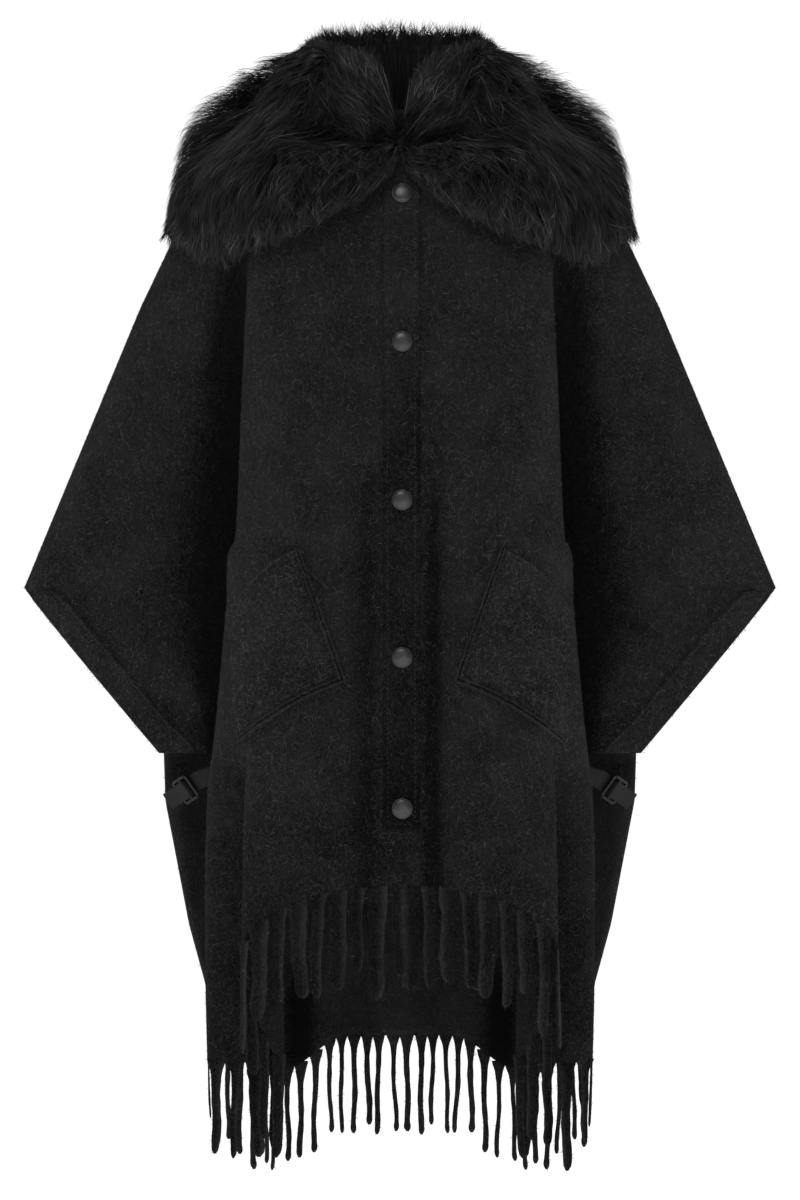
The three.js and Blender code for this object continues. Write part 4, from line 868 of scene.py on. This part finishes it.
def fur(side, locks, each):
    """Locks of hair. A lock's tip lies on the collar's outer form; each of its hairs starts on the
    pelt, nearer to the crease or to the neck, rises towards the form and bends over to the tip. On
    the inside the tips lean in towards the neck, and along the crest they stand up unevenly."""
    square, u, v = pick(hair_form.reshape(-1, 3), hair_squares, locks)
    row, column = square // (RING_STEPS - 1) + v, square % (RING_STEPS - 1) + u
    column = np.where(rng.random(locks) < 0.1, rng.uniform(*CREST_HAIR, locks), column)
    spread = rng.normal(0, 1, (4, locks, each))
    ring = column / (RING_STEPS - 1) * 11
    parting = CREASE + 2.7 * step_up(row / (ROUND_STEPS - 1) * 2, 0.26, 0.5)
    falls, rises = ring < parting, (ring >= parting) & (ring < 8.3)
    shift = np.where(falls, 1.25, np.where(rises, -0.7, 1.1)) * rng.uniform(0.6, 1.3, locks)
    root = ring + shift
    root = np.where(falls, np.minimum(root, parting - 0.1), root)
    root = np.where(rises, np.maximum(root, parting + 0.1), np.minimum(root, 11))
    row = row + np.where(rises, 7 * (1 - step_up(row, 0, 30)), 0)
    fan = np.where(rises, np.minimum(0.4 * row, 6) * (1 - step_up(row, 40, 90)), 0)
    turn = rng.normal(0, np.where(rises, 5, 2.6), locks) - fan
    root_row = row[:, None] + turn[:, None] + spread[0] * 1.5
    root_column = root[:, None] * (RING_STEPS - 1) / 11 + spread[1] * 1.3
    tip_row = row[:, None] + spread[2] * np.where(rises, 1.3, 0.5)[:, None]
    tip_column = column[:, None] + spread[3] * 0.75
    full = rng.uniform(0.74, 1.06, locks)[:, None] + rng.normal(0, 0.07, (locks, each))
    mid_row = (root_row + tip_row) / 2 + rng.normal(0, 1.5, (locks, 1)) + rng.normal(0, 0.7, tip_row.shape)
    mid_column = root_column * 0.4 + tip_column * 0.6
    start = on_grid(pelt_form, root_row, root_column)
    form, base = on_grid(hair_form, mid_row, mid_column), on_grid(pelt_form, mid_row, mid_column)
    bend = base + (form - base) * (full * 1.08)[..., None]
    form, base = on_grid(hair_form, tip_row, tip_column), on_grid(pelt_form, tip_row, tip_column)
    tip = base + (form - base) * full[..., None]
    inward = -on_grid(neck_away, tip_row, tip_column)
    inner = step_up(tip_column, *INNER_HAIR)[..., None]
    upper = (step_up(tip_column, *UPPER_HAIR) * (0.5 + 0.9 * step_up(tip_row, 70, 130)))[..., None]
    tip = tip + (inward * rng.uniform(3, 15, (locks, 1, 1)) + [0, 0, 5]) * inner
    loose = np.where(rises, 3.0, 1.4)[:, None, None]
    tip = tip + [0, 0, 1] * upper * rng.uniform(-2, 11, (locks, 1, 1)) + rng.normal(0, 1, tip.shape) * loose
    t = np.array([0, 0.38, 0.72, 1.0])[:, None]
    path = (start[:, :, None] * (1 - t) ** 2 + bend[:, :, None] * 2 * t * (1 - t) + tip[:, :, None] * t ** 2)
    path = path.reshape(-1, 4, 3)
    run = np.gradient(path, axis=1)
    out = np.repeat((form - base).reshape(-1, 1, 3), 4, 1)
    wide = unit(np.cross(run, out))
    roll = rng.normal(0, 0.5, len(path))[:, None, None]
    up = np.cross(wide, unit(run))
    wide = wide * np.cos(roll) + up * np.sin(roll)
    thickness = rng.uniform(0.5, 1.0, len(path))[:, None] * np.array([0.9, 0.8, 0.5])
    points, faces = hairs(path, wide, thickness)
    # Painted light and shade in each hair's tone: hairs that stand up at the front are lightened, those
    # further back and those that fall are darkened, and hairs turned in towards the neck are darkened much
    # more as painted shade. The mark own so holds the hair's own random tone times this painted light and
    # shade.
    lit = np.where(rises, 1.15 - 0.35 * step_up(row, 12, 36), 0.85)
    lit = lit * (1 - 0.75 * step_up(column, *INNER_HAIR))
    tone = 0.12 * rng.random((locks, 1)) + 1.05 * rng.random((locks, each)) ** 3.4
    tone = np.repeat((tone * lit[:, None]).ravel(), 7)
    along = np.tile([0, 0.38, 0.72, 0, 0.38, 0.72, 1.0], len(path))
    tag = "r" if side < 0 else "l"
    make_piece(f"fur_hair_{tag}", points, faces, fur_finish, "fur", side=side,
               marks={"own": tone, "along": along})


for side in SIDES.values():
    fur(side, LOCKS, HAIRS_IN_LOCK)

# Side straps: flat webbing from each front's side edge through a metal slider to a loop that is
# sewn inside the back.
STRAP_WIDTH, STRAP_WALL = 18, 1.6
SLIDER_WIDTH, SLIDER_HEIGHT, SLIDER_WALL, SLIDER_RAIL = 26, 20, 3, 3
SLIDER_AT = np.array([204.0, 13, -627])
STRAP_RUN = np.array([27.0, 23, -19])
STRAP_DEPTH, BASE_PLACE, BASE_DEPTH = 608, 5.7, 614


def webbing(route, widths):
    """A flat strap along a route: the points are joined by Catmull-Rom, and its section is a thin
    oblong with round sides, as wide as the strap and turned the given way at each point."""
    route, widths = np.array(route), np.array(widths)
    place = np.linspace(0, len(route) - 1, 12 * (len(route) - 1) + 1)
    k = np.minimum(place.astype(int), len(route) - 2)
    t = (place - k)[:, None]
    padded = np.concatenate([2 * route[:1] - route[1:2], route, 2 * route[-1:] - route[-2:-1]])
    centre = between_points(*(padded[k + n] for n in range(4)), t)
    wide = widths[k] * (1 - t) + widths[k + 1] * t
    run = unit(np.gradient(centre, axis=0))
    wide = unit(wide - run * (wide * run).sum(1, keepdims=True))
    thick = np.cross(run, wide)
    x = np.concatenate([np.linspace(-1, 1, 9), np.linspace(1, -1, 9)]) * (STRAP_WIDTH / 2 - 0.3)
    y = np.concatenate([np.full(9, -1), np.full(9, 1)]) * STRAP_WALL / 2
    y = y * np.where(abs(x) > STRAP_WIDTH / 2 - 1, 0.55, 1)
    rings = centre[:, None] + wide[:, None] * x[:, None] + thick[:, None] * y[:, None]
    return ropes(rings[None])


web_finish, web_skin, place = new_finish("strap_webbing")
weave = place.node("TexWave", {"wave_type": "BANDS", "bands_direction": "Z"},
                   {"Vector": place, "Scale": 240, "Distortion": 1.2})
rib = place.node("TexWave", {"wave_type": "BANDS", "bands_direction": "X"},
                 {"Vector": place, "Scale": 200, "Distortion": 0.6})
cloth = weave * 0.6 + rib * 0.4
place.fill(web_skin, {
    "Base Color": cloth.between(0.2, 0.9).blend((0.003, 0.003, 0.003), (0.014, 0.014, 0.0145)),
    "Roughness": 0.65 + 0.2 * weave, "Specular IOR Level": 0.2,
    "Normal": place.node("Bump", {}, {"Strength": 0.5, "Distance": 0.0004, "Height": cloth})})
slider_metal, slider_skin, place = new_finish("slider_metal")
scratch = place.node("TexNoise", {}, {"Vector": place, "Scale": 500, "Detail": 3})
place.fill(slider_skin, {
    "Base Color": scratch.between(0.3, 0.8).blend((0.004, 0.004, 0.0042), (0.012, 0.012, 0.0124)),
    "Metallic": 0.1, "Roughness": 0.45 + 0.2 * scratch, "Specular IOR Level": 0.25,
    "Normal": place.node("Bump", {}, {"Strength": 0.05, "Distance": 0.0003, "Height": scratch})})


def slider_rails(middle, across, run, towards):
    """The slider: four rails and a middle bar, each a rounded square rod with its ends in the next."""
    w, h = SLIDER_WIDTH / 2 - SLIDER_RAIL / 2, SLIDER_HEIGHT / 2 - SLIDER_RAIL / 2
    angle = np.arange(12) * 2 * np.pi / 12 + np.pi / 12
    section = np.sign([np.cos(angle), np.sin(angle)]) * np.abs([np.cos(angle), np.sin(angle)]) ** 0.6 * 1.5
    levels = np.linspace(-1, 1, 7)
    rods = []
    for start, end in [((-w, -h), (w, -h)), ((w, -h), (w, h)), ((w, h), (-w, h)), ((-w, h), (-w, -h)),
                       ((-w, 0), (w, 0))]:
        start, end = (across * p[0] + run * p[1] for p in (start, end))
        way = unit(end - start)
        over = np.cross(way, towards)
        reach = (start + end) / 2 + (end - start)[None] * levels[:, None] / 2
        rods.append(middle + reach[:, None] + over * section[0][:, None] + towards * section[1][:, None])
    return ropes(np.stack(rods))


for tag, side in SIDES.items():
    run = unit(STRAP_RUN)
    viewer = np.array([0.0, -1, 0])
    towards = unit(viewer - run * (viewer @ run))
    across = np.cross(towards, run)
    to = lambda along_run, out: SLIDER_AT + run * along_run + towards * out
    passing = SLIDER_WALL / 2 + SEAM_GAP + STRAP_WALL / 2
    tip, bar = SLIDER_HEIGHT / 2, SLIDER_RAIL / 2
    slot = (tip - SLIDER_RAIL + bar) / 2
    edge = lambda depth: fronts[tag].at(np.array(5.0), np.array(float(depth)))
    edge_run = edge(STRAP_DEPTH - 6) - edge(STRAP_DEPTH + 6)
    sewn = edge(STRAP_DEPTH) + [-1.2, 1.4, 0]
    route = [sewn, sewn + [3, 9, -2], to(-tip - 10, -passing - 1), to(SLIDER_RAIL - tip - 0.3, -passing),
             to(-slot - 1, 0.8 - passing), to(-slot + 1, passing - 0.8), to(-bar, passing),
             to(bar, passing), to(tip + 2, passing), to(tip + 14, passing + 1)]
    make_piece(f"webbing_strap_{tag}", *webbing(route, [edge_run] + [across] * 9), web_finish, "webbing",
               [f"strap_{tag}"], side)
    make_piece(f"slider_frame_{tag}", *slider_rails(SLIDER_AT, across, run, towards), slider_metal,
               "slider_metal", [f"slider_{tag}"], side)
    outward = backs[tag].square(np.array(BASE_PLACE), np.array(float(BASE_DEPTH)))
    inside = lambda depth: backs[tag].lifted(np.array(BASE_PLACE), np.array(float(depth)), -3.0)
    up = inside(BASE_DEPTH - 8) - inside(BASE_DEPTH + 8)
    route = [to(tip - SLIDER_RAIL - 1, -passing), to(tip + 1, -passing - 0.2), to(tip + 3, -passing - 1.4),
             inside(BASE_DEPTH) - outward * 7, inside(BASE_DEPTH) - outward * 0.9]
    make_piece(f"webbing_base_{tag}", *webbing(route, [across] * 3 + [up] * 2), web_finish, "webbing",
               [f"strap_base_{tag}"], side)

# The fringes: below the fronts the cloth is cut into thick round-ended tongues; below the back it
# narrows into twisted yarns with a brushed knob at the end. Each front and the back was cut as one
# sheet with its fringe.
FRINGE_LENGTH = 98
FRONT_STRANDS, BACK_STRANDS = 19, 15
STRAND_ANGLES = np.arange(12) * 2 * np.pi / 12


def roots_along(panel, hem_rows, last, count, inset):
    """Strand roots at equal steps of length along a hem, and the way along it at each."""
    fine = np.linspace(0, last, 241)
    line = panel.at(fine, smooth(hem_rows)(fine))
    reach = np.concatenate([[0], np.cumsum(np.hypot(*np.diff(line[:, :2], axis=0).T))])
    wanted = np.linspace(inset, reach[-1] - inset, count)
    place = np.interp(wanted, reach, fine)
    depth = smooth(hem_rows)(place)
    ahead = panel.at(np.minimum(place + 0.02, last), depth) - panel.at(np.maximum(place - 0.02, 0), depth)
    return panel.lifted(place, depth, np.full(count, -1.3)), unit(ahead * [1, 1, 0])


def strands(roots, ways, lengths, wide, thick, size, uneven, sway, lean, levels):
    """Hanging strands: an oval section whose width and thickness change with the share of the way
    down and by a few soft uneven waves, and whose line sways as the square of that share."""
    share = np.linspace(0, 1, levels)
    centre = roots[:, None] - [0, 0, 1] * (share * lengths[:, None])[..., None]
    sideways = share ** 2 * sway[:, None] + 1.2 * np.sin(share * 9 + sway[:, None]) * share
    backwards = share ** 2 * lean[:, None]
    back = np.cross(ways, [0, 0, 1.0])
    centre = centre + ways[:, None] * sideways[..., None] + back[:, None] * backwards[..., None]
    own = np.arange(len(roots))[:, None] * 2.4
    waves = np.sin(share * 21 + own) + np.sin(share * 34 + 1.7 * own) + np.sin(share * 9 + 3 * own)
    lumps = 1 + uneven * waves * step_up(share, 0, 0.25)
    lumps = lumps * (1 + (size[:, None] - 1) * step_up(share, 0, 0.15))
    x = (wide(share) * lumps)[..., None] * np.cos(STRAND_ANGLES)
    y = (thick(share) * lumps)[..., None] * np.sin(STRAND_ANGLES)
    rings = centre[:, :, None] + ways[:, None, None] * x[..., None] + back[:, None, None] * y[..., None]
    return ropes(rings[:, :, ::-1])


tongue_wide = smooth([(0, 9.8), (0.08, 9.0), (0.22, 7.6), (0.42, 6.8), (0.88, 6.5), (0.95, 5.5), (0.985, 3.9),
                      (1, 2.0)])
tongue_thick = smooth([(0, 0.9), (0.03, 1.2), (0.2, 1.9), (0.8, 2.3), (0.95, 2.0), (1, 0.8)])
for tag, side in SIDES.items():
    number = np.arange(FRONT_STRANDS)
    roots, ways = roots_along(fronts[tag], FRONT_HEM, BODY_SPANS, FRONT_STRANDS, 5.0)
    lengths = FRINGE_LENGTH - 8 + 8 * np.sin(number * 1.9) + 7 * np.sin(number * 2.7 + side)
    lengths = lengths - 40 * step_up(number, 12, FRONT_STRANDS - 1) ** 2
    sway, lean = np.sin(number * 2.4 + side) * 3, np.cos(number * 1.7) * 4
    size = (0.96 + 0.2 * np.sin(number * 3.1 + side)) * (1 - 0.4 * step_up(number, 10, 15))
    points, faces = strands(roots + [0, 0, 3], ways, lengths + 3, tongue_wide, tongue_thick, size, 0.035,
                            sway, lean, 26)
    # Painted light and shade on each tongue: its flat faces are darkened as painted shade and its narrow
    # sides lightened as painted highlight.
    edge = np.tile(0.42 - 0.9 * abs(np.cos(STRAND_ANGLES)) ** 5, len(points) // len(STRAND_ANGLES))
    edge = np.concatenate([edge, np.zeros(len(points) - len(edge))])
    tongues = make_piece(f"fringe_tongues_{tag}", points, faces, wool, "fringe", [f"fringe_front_{tag}"],
                         side, {"fold": edge})
    brushed.append((f"nap_tongues_{tag}", points, faces[0], 3000, side))

yarn_wide = smooth([(0, 7.4), (0.04, 6.8), (0.1, 4.9), (0.17, 3.6), (0.26, 2.75), (0.9, 2.7), (0.955, 3.1),
                    (1, 1.3)])
yarn_thick = smooth([(0, 0.8), (0.03, 1.1), (0.2, 1.9), (0.3, 2.4), (0.9, 2.4), (0.955, 2.8), (1, 1.1)])
parts = []
for tag, side in SIDES.items():
    roots, ways = roots_along(backs[tag], BACK_HEM, 6, BACK_STRANDS, 6.8)
    number = np.arange(BACK_STRANDS)
    lengths = FRINGE_LENGTH - 4 + 5 * np.sin(number * 2.3)
    sway, lean = np.sin(number * 2.4 + side) * 3, np.cos(number * 1.7) * 3
    size = 0.95 + 0.14 * np.sin(number * 1.3 + side)
    points, faces = strands(roots + [0, 0, 2.5], ways, lengths + 2.5, yarn_wide, yarn_thick, size, 0.045,
                            sway, lean, 34)
    parts.append((points * [side, 1, 1], [face[:, ::side] for face in faces]))
points, faces = gathered(parts)
yarns = make_piece("fringe_yarns_back", points, faces, wool, "fringe", ["fringe_back"])
brushed.append(("nap_yarns", points, np.concatenate([face for face in faces if face.shape[1] == 4]), 4200, 1))

# The nap: short curled fibres that stand off the brushed wool of the fronts, pockets and back.
nap_finish, nap_skin, place = new_finish("wool_nap")
own = place.node("Attribute", {"attribute_name": "own"}, {}, 2)
place.fill(nap_skin, {
    "Base Color": own.blend((0.006, 0.006, 0.0063), (0.085, 0.085, 0.088)),
    "Roughness": 0.9, "Specular IOR Level": 0.1})


def nap(name, points, squares, count, side, painted_light_and_shade=None):
    """Fibres on the brushed faces of a piece: each starts at a random spot, lies along the cloth a
    random way that leans downward, lifts off it a little and curls to one side. Where painted shade
    is given for the cloth, the fibres on it are darkened with it as painted shade."""
    square, u, v = pick(points, squares, count)
    a, b, c, d = (points[squares[square, k]] for k in range(4))
    u, v = u[:, None], v[:, None]
    start = (a * (1 - u) + b * u) * (1 - v) + (d * (1 - u) + c * u) * v
    out = unit(np.cross(c - a, d - b))
    across = unit(np.cross(out, [0.02, 0, -1.0]))
    angle = rng.normal(0, 1.25, count)[:, None]
    way = np.cross(across, out) * np.cos(angle) + across * np.sin(angle)
    beside = np.cross(out, way)
    length = rng.uniform(2.5, 6.5, count)[:, None]
    curl = rng.normal(0, 0.5, count)[:, None] * length
    lift = rng.uniform(0.25, 1.0, count)[:, None]
    middle = start + way * length * 0.55 + beside * curl * 0.35 + out * lift
    tip = start + way * length + beside * curl + out * lift * rng.uniform(0.2, 1.8, count)[:, None]
    path = np.stack([start, middle, tip], 1)
    wide = np.repeat(beside[:, None], 3, 1)
    points, faces = hairs(path, wide, np.tile([0.36, 0.3], (count, 1)))
    own = rng.random(count) ** 2.2
    if painted_light_and_shade is not None:
        # Painted shade: fibres where the cloth's fold mark is set are darkened with it.
        own = own * (1 - 0.9 * painted_light_and_shade[squares[square, 0]])
    make_piece(name, points, faces, nap_finish, "wool", side=side, marks={"own": np.repeat(own, 5)})


for patch in brushed:
    nap(*patch)

# The studio: a white room with a large soft light ahead and above and a weaker one on each side.
floor_mesh = bpy.data.meshes.new("floor")
floor_mesh.from_pydata([(-9, -9, -1.45), (9, -9, -1.45), (9, 9, -1.45), (-9, 9, -1.45)], [], [(0, 1, 2, 3)])
floor = bpy.data.objects.new("floor", floor_mesh)
bpy.context.scene.collection.objects.link(floor)
paper, paper_skin, place = new_finish("pale_floor")
place.fill(paper_skin, {"Base Color": (0.9, 0.9, 0.9, 1), "Roughness": 1.0, "Specular IOR Level": 0.0,
                        "Emission Color": (1, 1, 1, 1), "Emission Strength": 0.9})
floor_mesh.materials.append(paper)
floor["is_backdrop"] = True

world = bpy.data.worlds.new("white_room")
world.use_nodes = True
room = world.node_tree.nodes["Background"]
room.inputs["Color"].default_value = (1, 1, 1, 1)
seen = Shade(world.node_tree, world.node_tree.nodes.new("ShaderNodeLightPath").outputs["Is Camera Ray"])
seen.fill(room, {"Strength": seen * 0.9 + 0.15})
bpy.context.scene.world = world
bpy.context.scene.view_settings.view_transform = "Standard"


def soft_light(name, at, aim, size, power):
    """A square light that faces a point."""
    light = bpy.data.lights.new(name, "AREA")
    light.size, light.energy = size, power
    lamp = bpy.data.objects.new(name, light)
    lamp.location = at
    reach = np.array(aim) - np.array(at)
    lamp.rotation_euler = (np.arccos(-reach[2] / np.linalg.norm(reach)), 0, np.arctan2(-reach[0], reach[1]))
    bpy.context.scene.collection.objects.link(lamp)


soft_light("light_ahead", (-0.5, -2.3, 1.9), (0, 0, -0.3), 1.4, 42)
soft_light("light_above", (0, 0.5, 2.2), (0, 0, 0), 1.4, 16)
soft_light("light_low", (0.3, -3.0, -0.8), (0, 0, -0.7), 1.5, 9)
soft_light("light_right", (2.4, 0.3, -0.7), (0, 0, -0.75), 1.0, 24)
soft_light("light_left", (-2.4, 0.3, -0.7), (0, 0, -0.75), 1.0, 24)

camera = bpy.data.objects.new("camera", bpy.data.cameras.new("camera"))
CAMERA_AWAY, WIDTH_SEEN = 3.4, 1.14
camera.location = (0, -CAMERA_AWAY, -0.4465)
camera.rotation_euler = (np.pi / 2, 0, 0)
camera.data.sensor_width = 36
camera.data.lens = 36 * CAMERA_AWAY / WIDTH_SEEN
bpy.context.scene.collection.objects.link(camera)
bpy.context.scene.camera = camera

low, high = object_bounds()
